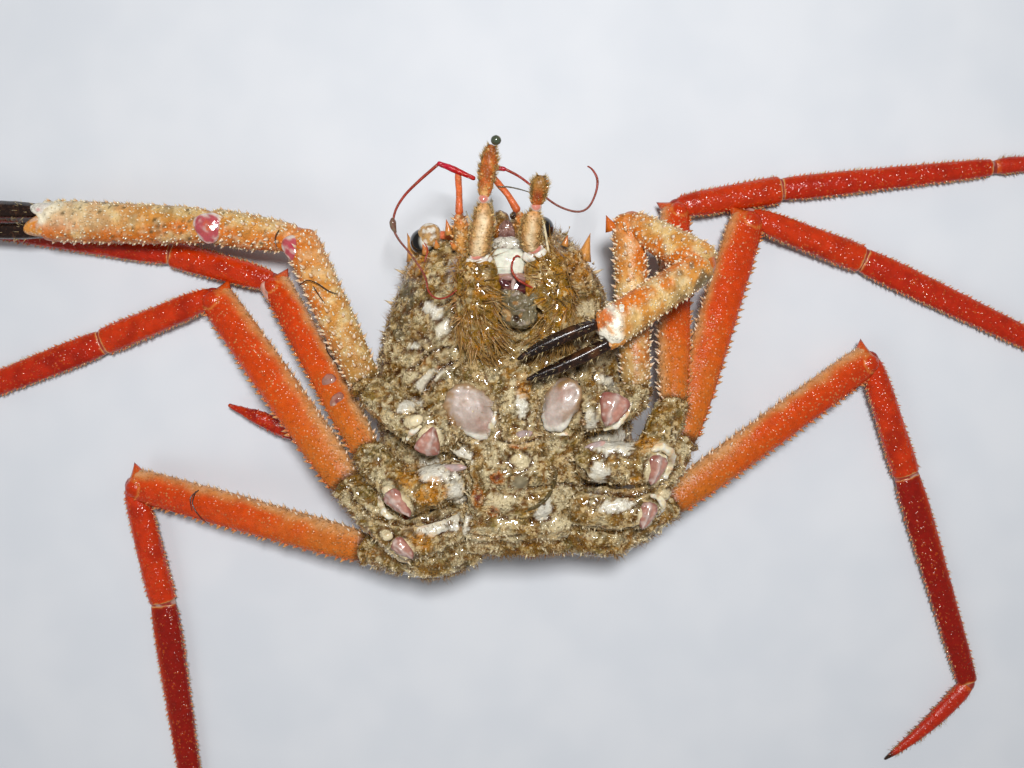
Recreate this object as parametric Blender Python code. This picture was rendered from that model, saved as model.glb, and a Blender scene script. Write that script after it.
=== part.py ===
"""A carrier crab lying on its back: a still, life-size model.

The breast and the folded belly face up, the legs lie spread on the floor, the
left claw is folded over the mouth and the right one is stretched out.  The
head points along +Y, the crab's own left side is at +X, and +Z is up.  The
origin is on the floor, under the middle of the body.

All sizes are in millimetres and all angles in degrees.  A heading is counted
from +X towards +Y.  The meshes are turned into metres as they are made.
"""

import math
import random

import bmesh
import bpy
from mathutils import Matrix, Vector
from mathutils.bvhtree import BVHTree

MM = 0.001
UP = Vector((0, 0, 1))
GAP = 0.3             # left between pieces that touch
SOLVER = "MANIFOLD"   # the joined spines are too many for the exact solver
SEED = 7

# Limbs: length of each piece from the trunk to the tip, its half width seen from
# above, and its half height.
LIMBS = {
    "claw_right": {"merus": (62, 6.3, 5.6), "carpus": (33, 6.6, 6.0),
                   "palm": (64, 7.6, 6.6), "finger": (40, 3.0, 3.0)},
    "claw_left": {"merus": (60, 5.7, 5.4), "carpus": (33, 6.4, 5.8),
                  "palm": (44, 6.5, 5.8), "finger": (27.5, 2.2, 2.5)},
    "leg_2": {"merus": (79, 5.6, 3.9), "carpus": (41, 5.3, 3.7),
              "propodus": (80, 4.6, 2.9), "dactyl": (40, 3.2, 2.4)},
    "leg_3": {"merus": (92, 6.8, 3.9), "carpus": (47, 5.3, 3.7),
              "propodus": (83, 5.2, 2.9), "dactyl": (42, 3.3, 2.4)},
    "leg_4": {"merus": (98, 6.4, 3.9), "carpus": (48, 5.3, 3.7),
              "propodus": (86, 5.4, 2.9), "dactyl": (44, 3.4, 2.4)},
}
COXA = (7.8, 7.2)      # half width and half height of the first piece of a limb
ISCHIUM = (6.6, 5.6)   # and of the second

# Pose of each limb.  coxa, hinge and merus are the places where those pieces
# begin; each row after them is the heading of a piece and the height of its end.
POSES = {
    "claw_right": {
        "coxa": (-19, -8, 47), "hinge": (-30, -14, 49), "merus": (-50.5, 1, 42),
        "run": ((117, 22), (171, 18), (178, 15), (179, 10)),
    },
    "claw_left": {
        "coxa": (20, -5, 47), "hinge": (32, -5, 49), "merus": (41, -0.5, 42),
        "run": ((92, 33), (-33, 50), (-147, 60), (-156, 61)),
    },
    "leg_2_right": {
        "coxa": (-21, -29, 46), "hinge": (-38, -35, 48), "merus": (-51, -21.5, 40),
        "run": ((123, 7), (165, 3.5), (172, 2.3), (171, 0.7)),
    },
    "leg_2_left": {
        "coxa": (25, -23, 46), "hinge": (44, -24, 48), "merus": (54, -5.5, 40),
        "run": ((86, 7), (10, 3.5), (6, 2.3), (0, 0.7)),
    },
    "leg_3_right": {
        "coxa": (-22, -46, 43), "hinge": (-39, -52, 45), "merus": (-58, -34, 37),
        "run": ((129, 7), (-158, 3.5), (-159, 2.3), (-153, 0.7)),
    },
    "leg_3_left": {
        "coxa": (23, -40, 43), "hinge": (43, -40, 45), "merus": (56.5, -19, 36),
        "run": ((70, 7), (-20, 3.5), (-25, 2.3), (-26, 0.7)),
    },
    "leg_4_right": {
        "coxa": (-18, -55.5, 37), "hinge": (-32, -59.5, 38), "merus": (-52, -57, 31),
        "run": ((168, 7), (-79, 3.5), (-83, 2.3), (-61, 0.7)),
    },
    "leg_4_left": {
        "coxa": (20, -50, 37), "hinge": (36, -51, 38), "merus": (53, -41.5, 31),
        "run": ((33, 7), (-70, 3.5), (-72, 2.3), (-135, 0.7)),
    },
}

# Outline of a piece along its length: place, share of the half width, share of
# the half height.
OUTLINES = {
    "trunk": ((0, .6, .6), (.12, .9, .9), (.5, 1, 1), (.88, .95, .95), (1, .65, .65)),
    "merus": ((0, .6, .65), (.05, .88, .9), (.2, 1, 1), (.6, 1.04, 1), (.93, 1, 1), (1, .7, .75)),
    "carpus": ((0, .55, .6), (.07, .82, .85), (.3, .92, .93), (.88, 1, 1), (1, .8, .8)),
    "propodus": ((0, .6, .6), (.04, .95, .95), (.2, 1, 1), (.9, .78, .86), (1, .66, .7)),
    "dactyl": ((0, .6, .6), (.1, 1, 1), (.4, .88, .88), (.7, .6, .62), (.9, .34, .36), (1, .16, .2)),
    "claw_merus": ((0, .6, .6), (.08, .88, .9), (.4, 1, 1), (.9, 1.02, 1), (1, .7, .7)),
    "claw_carpus": ((0, .5, .55), (.12, .8, .82), (.5, .96, .95), (.88, 1, 1), (1, .7, .7)),
    "palm": ((0, .55, .6), (.08, .85, .88), (.3, .93, .95), (.75, 1, 1), (.93, 1, .95), (1, .8, .75)),
    "fixed_finger": ((0, .9, .9), (.2, 1, 1), (.55, .85, .85), (.85, .5, .5), (1, .18, .18)),
    "moving_finger": ((0, .6, .6), (.25, .95, .95), (.55, 1, 1), (.85, .55, .55), (1, .18, .18)),
}
SINK = 1.6         # how far the base of a piece reaches back into the one before it
OVERRUN = 2.4      # how far a piece reaches on past its last joint
DACTYL_BOW = 1.5   # sideways bend of the last piece of a walking leg
FINGER_BOW = 0.6   # sideways bend of a finger
FINGER_SPREAD = {"right": 3.4, "left": 3.6}   # from a claw's middle line to each finger

# Shell: distance forward, half width, lowest level and highest level.
SHELL = (
    (57, 13, 18, 38), (54, 23, 12, 43), (48, 30, 7, 46), (36, 36.5, 3, 47),
    (22, 42, 1, 47), (8, 45.5, -.4, 46), (-8, 46, -.6, 45), (-24, 45.5, -.5, 44),
    (-38, 41.5, 1.5, 42), (-47, 35, 6, 40), (-53.5, 26, 12, 38), (-57.5, 15, 18, 35),
)
SHELL_SHIFT = -4.5     # the shell lies to the crab's right of its breast
SHELL_TURN = 0.06      # and more so towards the head
BREAST = (
    (17, 11, 43, 49), (8, 21, 41, 50), (-8, 24, 40, 50.5), (-28, 23, 40, 49),
    (-44, 22, 37, 47), (-54, 17, 33, 43),
)
# Belly pieces: front and rear edge, half width, level of the raised middle.
BELLY = (
    (10, 1, 6, 55.5), (1, -12, 8.5, 57), (-12, -22, 10, 58), (-22, -31, 13, 57.5),
    (-31, -40, 17, 55.5), (-40, -49, 20, 53), (-49, -56, 20, 48),
)
BELLY_FLOOR = 47       # level of the belly's underside where it is highest
BELLY_GROOVE = 2.2     # how much lower the belly is between two pieces

# The thorns on each side of the shell, from the front corner to the rear:
# distance forward, degrees below the widest line, length, lean to the front.
SHELL_THORNS = (
    (52, 8, 6.5, 1.8), (41, 12, 4.5, .7), (30, 14, 4, .7), (19, 14, 3.6, .7), (8, 14, 3.4, .7),
    (-3, 14, 3.2, .7), (-15, 14, 3, .7), (-27, 14, 3, .7), (-38, 14, 2.8, .7),
)
ROSTRUM = {"middle": ((-8, 54, 20), (-9, 69, 17), 2.6), "right": ((-14, 53, 22), (-18, 64, 20), 2.2),
           "left": ((-2, 54, 22), (0, 65, 20), 2.2)}

# Colours as red, green and blue, with roughness last.
PAINTS = {
    "leg": (0.74, 0.10, 0.02, 0.3),
    "merus": (0.80, 0.20, 0.04, 0.4),
    "claw": (0.78, 0.34, 0.06, 0.4),
    "finger": (0.02, 0.012, 0.01, 0.2),
    "coxa": (0.42, 0.33, 0.14, 0.6),
    "shell": (0.40, 0.30, 0.12, 0.65),
    "mouth": (0.75, 0.70, 0.58, 0.4),
    "hair": (0.45, 0.27, 0.04, 0.6),
    "stalk": (0.66, 0.30, 0.10, 0.4),
    "eye": (0.01, 0.01, 0.01, 0.1),
}


def clear_scene():
    """Remove every object, so that only the crab is left."""
    for item in list(bpy.data.objects):
        bpy.data.objects.remove(item, do_unlink=True)


def paint(name):
    """A plain material in one of the named colours."""
    found = bpy.data.materials.get(name)
    if found:
        return found
    red, green, blue, roughness = PAINTS[name]
    material = bpy.data.materials.new(name)
    material.use_nodes = True
    shader = material.node_tree.nodes["Principled BSDF"]
    shader.inputs["Base Color"].default_value = (red, green, blue, 1)
    shader.inputs["Roughness"].default_value = roughness
    shader.inputs["Metallic"].default_value = 0
    return material


def step_from(point, length, heading, height):
    """The end of a straight piece of this length that ends at this height."""
    rise = height - point.z
    reach = math.sqrt(length ** 2 - rise ** 2)
    turn = math.radians(heading)
    return Vector((point.x + reach * math.cos(turn), point.y + reach * math.sin(turn), height))


def smooth_path(points, steps):
    """More points on a smooth curve through the ones given, with steps to each stretch."""
    ends = [points[0] * 2 - points[1], *points, points[-1] * 2 - points[-2]]
    path = []
    for before, start, end, after in zip(ends, ends[1:], ends[2:], ends[3:]):
        for step in range(steps):
            t = step / steps
            path.append(0.5 * (2 * start + (end - before) * t
                               + (2 * before - 5 * start + 4 * end - after) * t ** 2
                               + (3 * start - before - 3 * end + after) * t ** 3))
    path.append(points[-1])
    return path


class Tube:
    """A closed tube of oval rings along a line of points."""

    def __init__(self, points, sizes, sides=8, square=1.0):
        self.points = [Vector(point) for point in points]
        self.sizes = sizes
        self.sides = sides
        self.square = square

    def frame(self, index):
        """Direction of the line at a point, with the sideways and the upward one there."""
        before = self.points[max(index - 1, 0)]
        after = self.points[min(index + 1, len(self.points) - 1)]
        along = (after - before).normalized()
        side = along.cross(UP).normalized()
        return along, side, side.cross(along)

    def offset(self, size, angle):
        """Sideways and upward distance of the ring from the line, at an angle."""
        reach = []
        for value, half in zip((math.cos(angle), math.sin(angle)), size):
            reach.append(math.copysign(abs(value) ** self.square, value) * half)
        return reach

    def mesh(self, grow=0.0):
        """The tube as a bmesh, made larger all round by grow."""
        shape = bmesh.new()
        rings = []
        last = len(self.points) - 1
        for index, (point, size) in enumerate(zip(self.points, self.sizes)):
            along, side, top = self.frame(index)
            longer = grow if index == last else -grow if index == 0 else 0
            size = [half + grow for half in size]
            ring = []
            for step in range(self.sides):
                across, up = self.offset(size, math.tau * step / self.sides)
                ring.append(shape.verts.new(point + along * longer + side * across + top * up))
            rings.append(ring)
        for low, high in zip(rings, rings[1:]):
            for i in range(self.sides):
                j = (i + 1) % self.sides
                shape.faces.new((low[i], low[j], high[j]))
                shape.faces.new((low[i], high[j], high[i]))
        shape.faces.new(rings[0])
        shape.faces.new(rings[-1])
        bmesh.ops.recalc_face_normals(shape, faces=shape.faces)
        return shape

    def skin(self, place, turn):
        """A point on the surface, the way out of it there, and the way along."""
        index = min(int(place * (len(self.points) - 1)), len(self.points) - 2)
        share = place * (len(self.points) - 1) - index
        along, side, top = self.frame(index)
        point = self.points[index].lerp(self.points[index + 1], share)
        size = [a + (b - a) * share for a, b in zip(self.sizes[index], self.sizes[index + 1])]
        across, up = self.offset(size, math.radians(turn))
        out = side * (across / size[0] ** 2) + top * (up / size[1] ** 2)
        return point + side * across + top * up, out.normalized(), along


class Ball:
    """A rounded lump with three half sizes, turned to a heading."""

    def __init__(self, centre, radii, heading=0):
        self.centre = Vector(centre)
        self.radii = radii
        self.heading = math.radians(heading)

    def mesh(self, grow=0.0):
        """The lump as a bmesh, made larger all round by grow."""
        shape = bmesh.new()
        bmesh.ops.create_uvsphere(shape, u_segments=10, v_segments=7, radius=1)
        stretch = Matrix.Diagonal([radius + grow for radius in self.radii] + [1])
        place = Matrix.Translation(self.centre) @ Matrix.Rotation(self.heading, 4, "Z")
        bmesh.ops.transform(shape, matrix=place @ stretch, verts=shape.verts)
        return shape


class Node:
    """One named piece of the crab: shapes that are joined, and the spines on them."""

    def __init__(self, name, colour, shapes, spines=()):
        self.name = name
        self.colour = colour
        self.shapes = shapes
        self.spines = list(spines)


def limb_joints(name, lengths):
    """The places of a limb's joints from its third piece to its tip."""
    joints = [Vector(POSES[name]["merus"])]
    for length, (heading, height) in zip(lengths, POSES[name]["run"]):
        joints.append(step_from(joints[-1], length, heading, height))
    return joints


def piece(start, end, kind, girth, sides=8, bow=0.0, lead=SINK, tail=OVERRUN):
    """A limb piece between two joints, with the outline of its kind."""
    along = (end - start).normalized()
    base = start - along * lead
    tip = end + along * tail
    across = along.cross(UP).normalized()
    points = []
    sizes = []
    for place, width, height in OUTLINES[kind]:
        points.append(base.lerp(tip, place) + across * bow * 4 * place * (1 - place))
        sizes.append((girth[0] * width, girth[1] * height))
    return Tube(points, sizes, sides)


def spine(root, out, length, width=0.3):
    """A slender thorn with three sides, its root sunk in the surface."""
    sunk = 0.9
    shape = bmesh.new()
    bmesh.ops.create_cone(shape, cap_ends=True, segments=3, radius1=max(length * width, 0.6),
                          radius2=0, depth=length + sunk)
    turn = UP.rotation_difference(out).to_matrix().to_4x4()
    middle = root + out * ((length + sunk) / 2 - sunk)
    bmesh.ops.transform(shape, matrix=Matrix.Translation(middle) @ turn, verts=shape.verts)
    return shape


def spine_row(tube, count, first, last, turn, length, lean=0.35, jitter=0.0):
    """Spines at even steps along a tube, on one side of it, leaning to its tip."""
    draw = random.Random(SEED + count + int(turn))
    row = []
    for step in range(count):
        place = first + (last - first) * (step + 0.5) / count
        here = turn + draw.uniform(-jitter, jitter)
        root, out, along = tube.skin(place, here)
        row.append((root, (out + along * lean).normalized(), length * draw.uniform(0.85, 1.15)))
    return row


def walking_leg(number, side):
    """The five pieces of one walking leg, from the tip to the trunk."""
    name = f"leg_{number}_{side}"
    sizes = LIMBS[f"leg_{number}"]
    joints = limb_joints(name, [row[0] for row in sizes.values()])
    tubes = {}
    for (kind, row), start, end in zip(sizes.items(), joints, joints[1:]):
        last = kind == "dactyl"
        bow = DACTYL_BOW * (1 if side == "right" else -1) if last else 0
        tubes[kind] = piece(start, end, kind, row[1:], bow=bow, tail=0 if last else OVERRUN)
    merus, carpus, propodus, dactyl = tubes.values()
    merus_spines = []
    carpus_spines = []
    propodus_spines = []
    for turn in (0, 180):
        merus_spines += spine_row(merus, 12, .2, .97, turn, 2.1)
        carpus_spines += spine_row(carpus, 2, .35, .95, turn, 1.4)
        propodus_spines += spine_row(propodus, 6, .15, .95, turn, 1.1)
    return [
        Node(f"{name}_dactyl", "leg", [dactyl]),
        Node(f"{name}_propodus", "leg", [propodus], propodus_spines),
        Node(f"{name}_carpus", "leg", [carpus], carpus_spines),
        Node(f"{name}_merus", "merus", [merus], merus_spines),
        leg_base(name, joints[0]),
    ]


def leg_base(name, merus_start):
    """The two short pieces between the breast and the long ones."""
    pose = POSES[name]
    root = Vector(pose["coxa"])
    hinge = Vector(pose["hinge"])
    coxa = piece(root, hinge, "trunk", COXA, lead=5, tail=3.5)
    ischium = piece(hinge, merus_start, "trunk", ISCHIUM, lead=4, tail=OVERRUN)
    spines = spine_row(ischium, 3, .3, .95, 20, 1.6, jitter=20)
    spines += spine_row(ischium, 3, .3, .95, 160, 1.6, jitter=20)
    spines += spine_row(coxa, 2, .3, .95, 90, 1.5, jitter=45)
    return Node(f"{name}_base", "coxa", [coxa, ischium], spines)


def claw_limb(side):
    """The five pieces of one claw-bearing limb, from the finger to the trunk."""
    name = f"claw_{side}"
    sizes = LIMBS[name]
    joints = limb_joints(name, [row[0] for row in sizes.values()])
    merus = piece(joints[0], joints[1], "claw_merus", sizes["merus"][1:])
    carpus = piece(joints[1], joints[2], "claw_carpus", sizes["carpus"][1:])
    palm = piece(joints[2], joints[3], "palm", sizes["palm"][1:], tail=0)
    across = (joints[4] - joints[3]).cross(UP).normalized()
    apart = across * FINGER_SPREAD[side]
    fixed = piece(joints[3] - apart, joints[4] - apart, "fixed_finger", sizes["finger"][1:],
                  bow=-FINGER_BOW, lead=4, tail=0)
    moving = piece(joints[3] + apart, joints[4] + apart, "moving_finger", sizes["finger"][1:],
                   bow=FINGER_BOW, lead=1.5, tail=0)
    merus_spines = []
    carpus_spines = []
    palm_spines = []
    for turn in (0, 90, 180):
        merus_spines += spine_row(merus, 7, .15, .95, turn, 1.9, jitter=12)
        carpus_spines += spine_row(carpus, 4, .2, .95, turn, 1.7, jitter=15)
        palm_spines += spine_row(palm, 6, .15, .9, turn, 1.0, jitter=15)
    return [
        Node(f"{name}_finger", "finger", [moving]),
        Node(f"{name}_palm", "claw", [palm, fixed], palm_spines),
        Node(f"{name}_carpus", "claw", [carpus], carpus_spines),
        Node(f"{name}_merus", "claw", [merus], merus_spines),
        leg_base(name, joints[0]),
    ]


def carrying_leg(side):
    """The small last leg, folded over the back, which holds what the crab carries."""
    if side == "right":
        path = [(-24, -50, 31), (-35, -54, 22), (-52, -44, 12), (-68, -32, 8.5), (-81, -19, 7)]
        claw = [(-80, -20, 7), (-86, -17, 6.6), (-97, -12.5, 6), (-109, -7.6, 5)]
    else:
        path = [(23, -46, 31), (31, -51, 22), (31, -55, 15), (22, -57.5, 13.5), (11, -59, 14)]
        claw = [(12, -58.5, 14), (8, -59.5, 15), (4, -61, 16.5), (0.5, -61.4, 18)]
    leg = Tube(path, [(3, 3), (3.8, 3.6), (3.3, 3.2), (3, 2.8), (2.3, 2.2)])
    tip = Tube(claw, [(2, 2), (3.7, 3), (3, 2.6), (0.7, 0.7)])
    return [Node(f"leg_5_{side}_claw", "leg", [tip]), Node(f"leg_5_{side}", "leg", [leg])]


def mouth_legs(side):
    """The broad hairy outer mouth leg and the two long pieces that it ends in."""
    if side == "right":
        base = Tube([(-11, 13, 48), (-11.5, 18, 50), (-12.5, 32, 51.5), (-13, 43, 52), (-13, 47, 52)],
                    [(4, 3), (8, 4.8), (9, 5.2), (7.2, 4.8), (4.5, 3.5)], 10)
        lower = piece(Vector((-12.8, 46, 55)), Vector((-10.5, 63.5, 59)), "trunk", (4.3, 3.6))
        upper = piece(Vector((-10.5, 63.5, 59)), Vector((-8.3, 80.5, 60)), "trunk", (2.9, 2.8), tail=0)
        shapes = [lower, upper, Ball((-7, 82, 60), (1.5, 1.5, 1.5))]
    else:
        base = Tube([(10.5, 14, 48), (11, 19, 50), (11, 32, 51.5), (9, 44, 52), (8, 48.5, 52)],
                    [(4, 3), (8, 4.8), (9, 5.2), (7.2, 4.8), (4.5, 3.5)], 10)
        lower = piece(Vector((5.4, 48, 55)), Vector((6.1, 61.5, 61)), "trunk", (3.5, 3.4))
        upper = piece(Vector((6.1, 61.5, 61)), Vector((7.3, 70, 64.5)), "trunk", (2.9, 2.8), tail=0)
        shapes = [lower, upper]
    spines = []
    for turn in (0, 180):
        spines += spine_row(lower, 3, .25, .9, turn, 1.3)
        spines += spine_row(upper, 3, .25, .9, turn, 1.2)
    return [Node(f"palp_{side}", "stalk", shapes, spines), Node(f"mouth_leg_{side}", "hair", [base])]


def antenna(side):
    """The thick base, the thin stalk and the long thread of one feeler."""
    if side == "right":
        foot = [(-18.6, 47, 43), (-18.7, 50, 44), (-18.8, 57, 45), (-18.9, 62, 45.5)]
        stalk = [(-18.4, 60.2, 45.5), (-18.2, 66, 46.5), (-18.7, 72.7, 48), (-20.5, 75.3, 48.5),
                 (-24, 76, 49)]
        thread = [(-23, 76, 49), (-31.6, 71.7, 48.5), (-36.6, 66.8, 48), (-40.4, 61.6, 47.5),
                  (-41, 56.1, 47), (-35.7, 46.4, 48.5), (-29.6, 35.7, 51), (-27.9, 32.4, 52),
                  (-24.9, 31.4, 53), (-21.8, 32.4, 55)]
    else:
        foot = [(3.5, 49, 43), (3, 52, 44), (1.5, 57, 45), (0.2, 60, 45.5)]
        stalk = [(-0.2, 59.5, 45.5), (-3.8, 65.4, 46.5), (-7.5, 71.1, 48), (-7, 74, 48.5), (-3, 73.6, 49)]
        thread = [(-4, 73.8, 49), (1.8, 71.6, 49), (11.1, 65.1, 48.8), (19.1, 60.6, 48.2),
                  (23.7, 61.6, 48), (26.4, 65.8, 48), (26.7, 70.8, 48), (24.1, 75.3, 48)]
    thread = smooth_path([Vector(point) for point in thread], 2)
    foot = Tube(foot, [(2.4, 2.4), (3.1, 3), (2.9, 2.8), (1.7, 1.7)])
    stalk = Tube(stalk, [(1.2, 1.2), (1, 1), (1.1, 1.1), (1.2, 1.2), (.9, .9)], 6)
    sizes = [(0.6 - 0.2 * i / len(thread),) * 2 for i in range(len(thread))]
    return [Node(f"antenna_{side}", "stalk", [foot, stalk, Tube(thread, sizes, 5)])]


def eye(side):
    """The black eye and the stalk with its swollen cap."""
    if side == "right":
        stalk = Tube([(-17, 50, 36), (-23, 53.5, 36), (-28.5, 53.6, 35.5)], [(2, 2), (1.5, 1.5), (2.4, 2.4)])
        cap = Ball((-31, 53, 35.4), (4.4, 4.1, 4.1))
        ball = Ball((-32.6, 51.6, 34), (4.5, 4.6, 4.4))
    else:
        stalk = Tube([(-5, 50, 38), (0.5, 55, 37.5), (3.5, 56.3, 37)], [(2, 2), (1.5, 1.5), (2.2, 2.2)])
        cap = Ball((5.2, 56.6, 36.5), (4.1, 4.1, 4.1))
        ball = Ball((7.4, 55.7, 35.2), (4.5, 4.6, 4.4))
    return [Node(f"eyestalk_{side}", "stalk", [stalk, cap]), Node(f"eye_{side}", "eye", [ball])]


def mouth():
    """The pale plate in front of the mouth, and the jaws and soft lump behind it."""
    plate = Tube([(-.6, 51, 49), (-.6, 49, 49.5), (-.5, 40, 49.5), (-.5, 37, 48.5)],
                 [(5, 2), (8, 3), (9.4, 3.2), (9, 2.6)])
    jaws = Ball((-1, 33.5, 49.5), (8, 5, 3.6))
    lump = Ball((2, 25, 52), (9, 7.5, 5))
    return [Node("mouth", "mouth", [plate, jaws, lump])]


def section_tube(rows, sides, square, shift=0.0, turn=0.0):
    """A trunk piece through sections that stand across the crab."""
    points = [(shift - turn * forward, forward, (low + high) / 2) for forward, half, low, high in rows]
    sizes = [(half, (high - low) / 2) for forward, half, low, high in rows]
    return Tube(points, sizes, sides, square)


def belly():
    """The folded belly: seven raised pieces with a groove between each two."""
    rows = []
    for front, rear, half, top in BELLY:
        floor = min(BELLY_FLOOR, top - 7)
        rows.append((front - 0.6, half * 0.9, floor, top - BELLY_GROOVE))
        rows.append((front * 0.6 + rear * 0.4, half, floor, top))
        rows.append((rear + 0.6, half * 0.95, floor, top - BELLY_GROOVE))
    return [Node("belly", "coxa", [section_tube(rows, 10, 0.9)])]


def breast():
    """The breast plate, with the swollen soft skin inside the roots of the claws."""
    plate = section_tube(BREAST, 12, 0.8)
    domes = [Ball((x, -3, 49), (6.8, 8.6, 3.6), turn) for x, turn in ((-15, 20), (15, -20))]
    return [Node("breast", "coxa", [plate, *domes])]


def shell():
    """The shell of the back, with its thorns and the three thorns of its brow."""
    body = section_tube(SHELL, 16, 0.8, SHELL_SHIFT, SHELL_TURN)
    brow = []
    for start, end, thickness in ROSTRUM.values():
        brow.append(Tube([start, end], [(thickness, thickness), (0.5, 0.5)], 6))
    thorns = []
    for forward, below, length, lean in SHELL_THORNS:
        index = max(i for i, row in enumerate(SHELL) if row[0] >= forward)
        within = (SHELL[index][0] - forward) / (SHELL[index][0] - SHELL[index + 1][0])
        for turn in (-below, 180 + below):
            root, out, along = body.skin((index + within) / (len(SHELL) - 1), turn)
            thorns.append((root, (out - along * lean).normalized(), length))
    return [Node("carapace", "shell", [body, *brow], thorns)]


def add_object(name, shape, collection):
    """Turn a bmesh into an object in a collection."""
    mesh = bpy.data.meshes.new(name)
    shape.to_mesh(mesh)
    shape.free()
    item = bpy.data.objects.new(name, mesh)
    collection.objects.link(item)
    return item


def combine(body, shapes, operation):
    """Join or cut the body with a collection of closed meshes, and apply the result."""
    if not shapes:
        return
    tools = bpy.data.collections.new("tools")
    bpy.context.scene.collection.children.link(tools)
    for shape in shapes:
        add_object("tool", shape, tools)
    modifier = body.modifiers.new("combine", "BOOLEAN")
    modifier.operation = operation
    modifier.operand_type = "COLLECTION"
    modifier.collection = tools
    modifier.solver = SOLVER
    graph = bpy.context.evaluated_depsgraph_get()
    result = bpy.data.meshes.new_from_object(body.evaluated_get(graph))
    body.modifiers.clear()
    body.data = result
    for tool in list(tools.objects):
        bpy.data.objects.remove(tool, do_unlink=True)
    bpy.data.collections.remove(tools)


def keep_largest(body):
    """Delete all but the largest closed surface of a mesh."""
    shape = bmesh.new()
    shape.from_mesh(body.data)
    left = set(shape.verts)
    groups = []
    while left:
        group = set()
        edge = [left.pop()]
        while edge:
            vert = edge.pop()
            group.add(vert)
            for link in vert.link_edges:
                other = link.other_vert(vert)
                if other in left:
                    left.discard(other)
                    edge.append(other)
        groups.append(group)
    groups.sort(key=len)
    scraps = [vert for group in groups[:-1] for vert in group]
    bmesh.ops.delete(shape, geom=scraps, context="VERTS")
    shape.to_mesh(body.data)
    shape.free()


def bounds(shape):
    """Lowest and highest corner of a bmesh."""
    places = [vert.co for vert in shape.verts]
    low = Vector([min(place[i] for place in places) for i in range(3)])
    high = Vector([max(place[i] for place in places) for i in range(3)])
    return low, high


def meet(one, other, room):
    """Whether two boxes come within some room of each other."""
    return all(one[0][i] - room < other[1][i] and other[0][i] - room < one[1][i] for i in range(3))


def floor_block():
    """A block under the floor, which cuts the small flats that the crab rests on."""
    block = bmesh.new()
    bmesh.ops.create_cube(block, size=1)
    place = Matrix.Translation((0, 0, -10)) @ Matrix.Diagonal((700, 700, 20, 1))
    bmesh.ops.transform(block, matrix=place, verts=block.verts)
    return block


def clear_of_others(root, tip, own, surfaces):
    """Whether a spine stays off the floor and off every other piece."""
    if tip.z < 0.4:
        return False
    for name, box, tree in surfaces:
        if name == own or not meet((tip, tip), box, 3):
            continue
        for point in (root, root.lerp(tip, 0.5), tip):
            near, normal, index, distance = tree.find_nearest(point)
            if distance < 1.2 or (point - near).dot(normal) < 0:
                return False
    return True


def clear_of_spines(root, tip, placed):
    """Whether a spine keeps its distance from the spines of other pieces."""
    return all((tip - other).length > 1.6 and (root - other).length > 1.6 for other in placed)


def build(nodes, collection):
    """Make each node; a node gives way to every node before it in the list."""
    surfaces = []
    boxes = []
    for node in nodes:
        for shape in node.shapes:
            mesh = shape.mesh()
            box = bounds(mesh)
            surfaces.append((node.name, box, BVHTree.FromBMesh(mesh)))
            boxes.append((node, shape, box))
            mesh.free()
    placed = {}
    for index, node in enumerate(nodes):
        own = [box for other, shape, box in boxes if other is node]
        body = add_object(node.name, node.shapes[0].mesh(), collection)
        combine(body, [shape.mesh() for shape in node.shapes[1:]], "UNION")
        earlier = nodes[:index]
        cutters = []
        for other, shape, box in boxes:
            if other in earlier and any(meet(box, mine, GAP) for mine in own):
                cutters.append(shape.mesh(GAP))
        if min(box[0].z for box in own) < 0.3:
            cutters.append(floor_block())
        combine(body, cutters, "DIFFERENCE")
        spines = []
        for root, out, length in node.spines:
            tip = root + out * length
            others = [point for name, points in placed.items() if name != node.name for point in points]
            if clear_of_others(root, tip, node.name, surfaces) and clear_of_spines(root, tip, others):
                spines.append(spine(root, out, length))
                placed.setdefault(node.name, []).extend((root.lerp(tip, 0.5), tip))
        combine(body, spines, "UNION")
        keep_largest(body)
        body.data.transform(Matrix.Scale(MM, 4))
        body.data.materials.clear()
        body.data.materials.append(paint(node.colour))


def all_nodes():
    """Every node, those that keep their whole shape where two meet coming first."""
    claws = [claw_limb(side) for side in ("right", "left")]
    legs = [walking_leg(number, side) for number in (2, 3, 4) for side in ("right", "left")]
    nodes = []
    for rank in range(5):
        for limb in claws + legs:
            nodes.append(limb[rank])
    for make in (mouth_legs, antenna, eye):
        for side in ("right", "left"):
            nodes += make(side)[:1]
    nodes += mouth()
    for side in ("right", "left"):
        nodes += mouth_legs(side)[1:] + eye(side)[1:]
    nodes += belly() + breast()
    for side in ("right", "left"):
        nodes += carrying_leg(side)
    return nodes + shell()


def main():
    clear_scene()
    crab = bpy.data.collections.new("carrier crab")
    bpy.context.scene.collection.children.link(crab)
    build(all_nodes(), crab)


main()
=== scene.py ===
import itertools
import math

import bmesh
import bpy
import numpy as np
from mathutils import Matrix, Vector, noise
from mathutils.bvhtree import BVHTree


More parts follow.
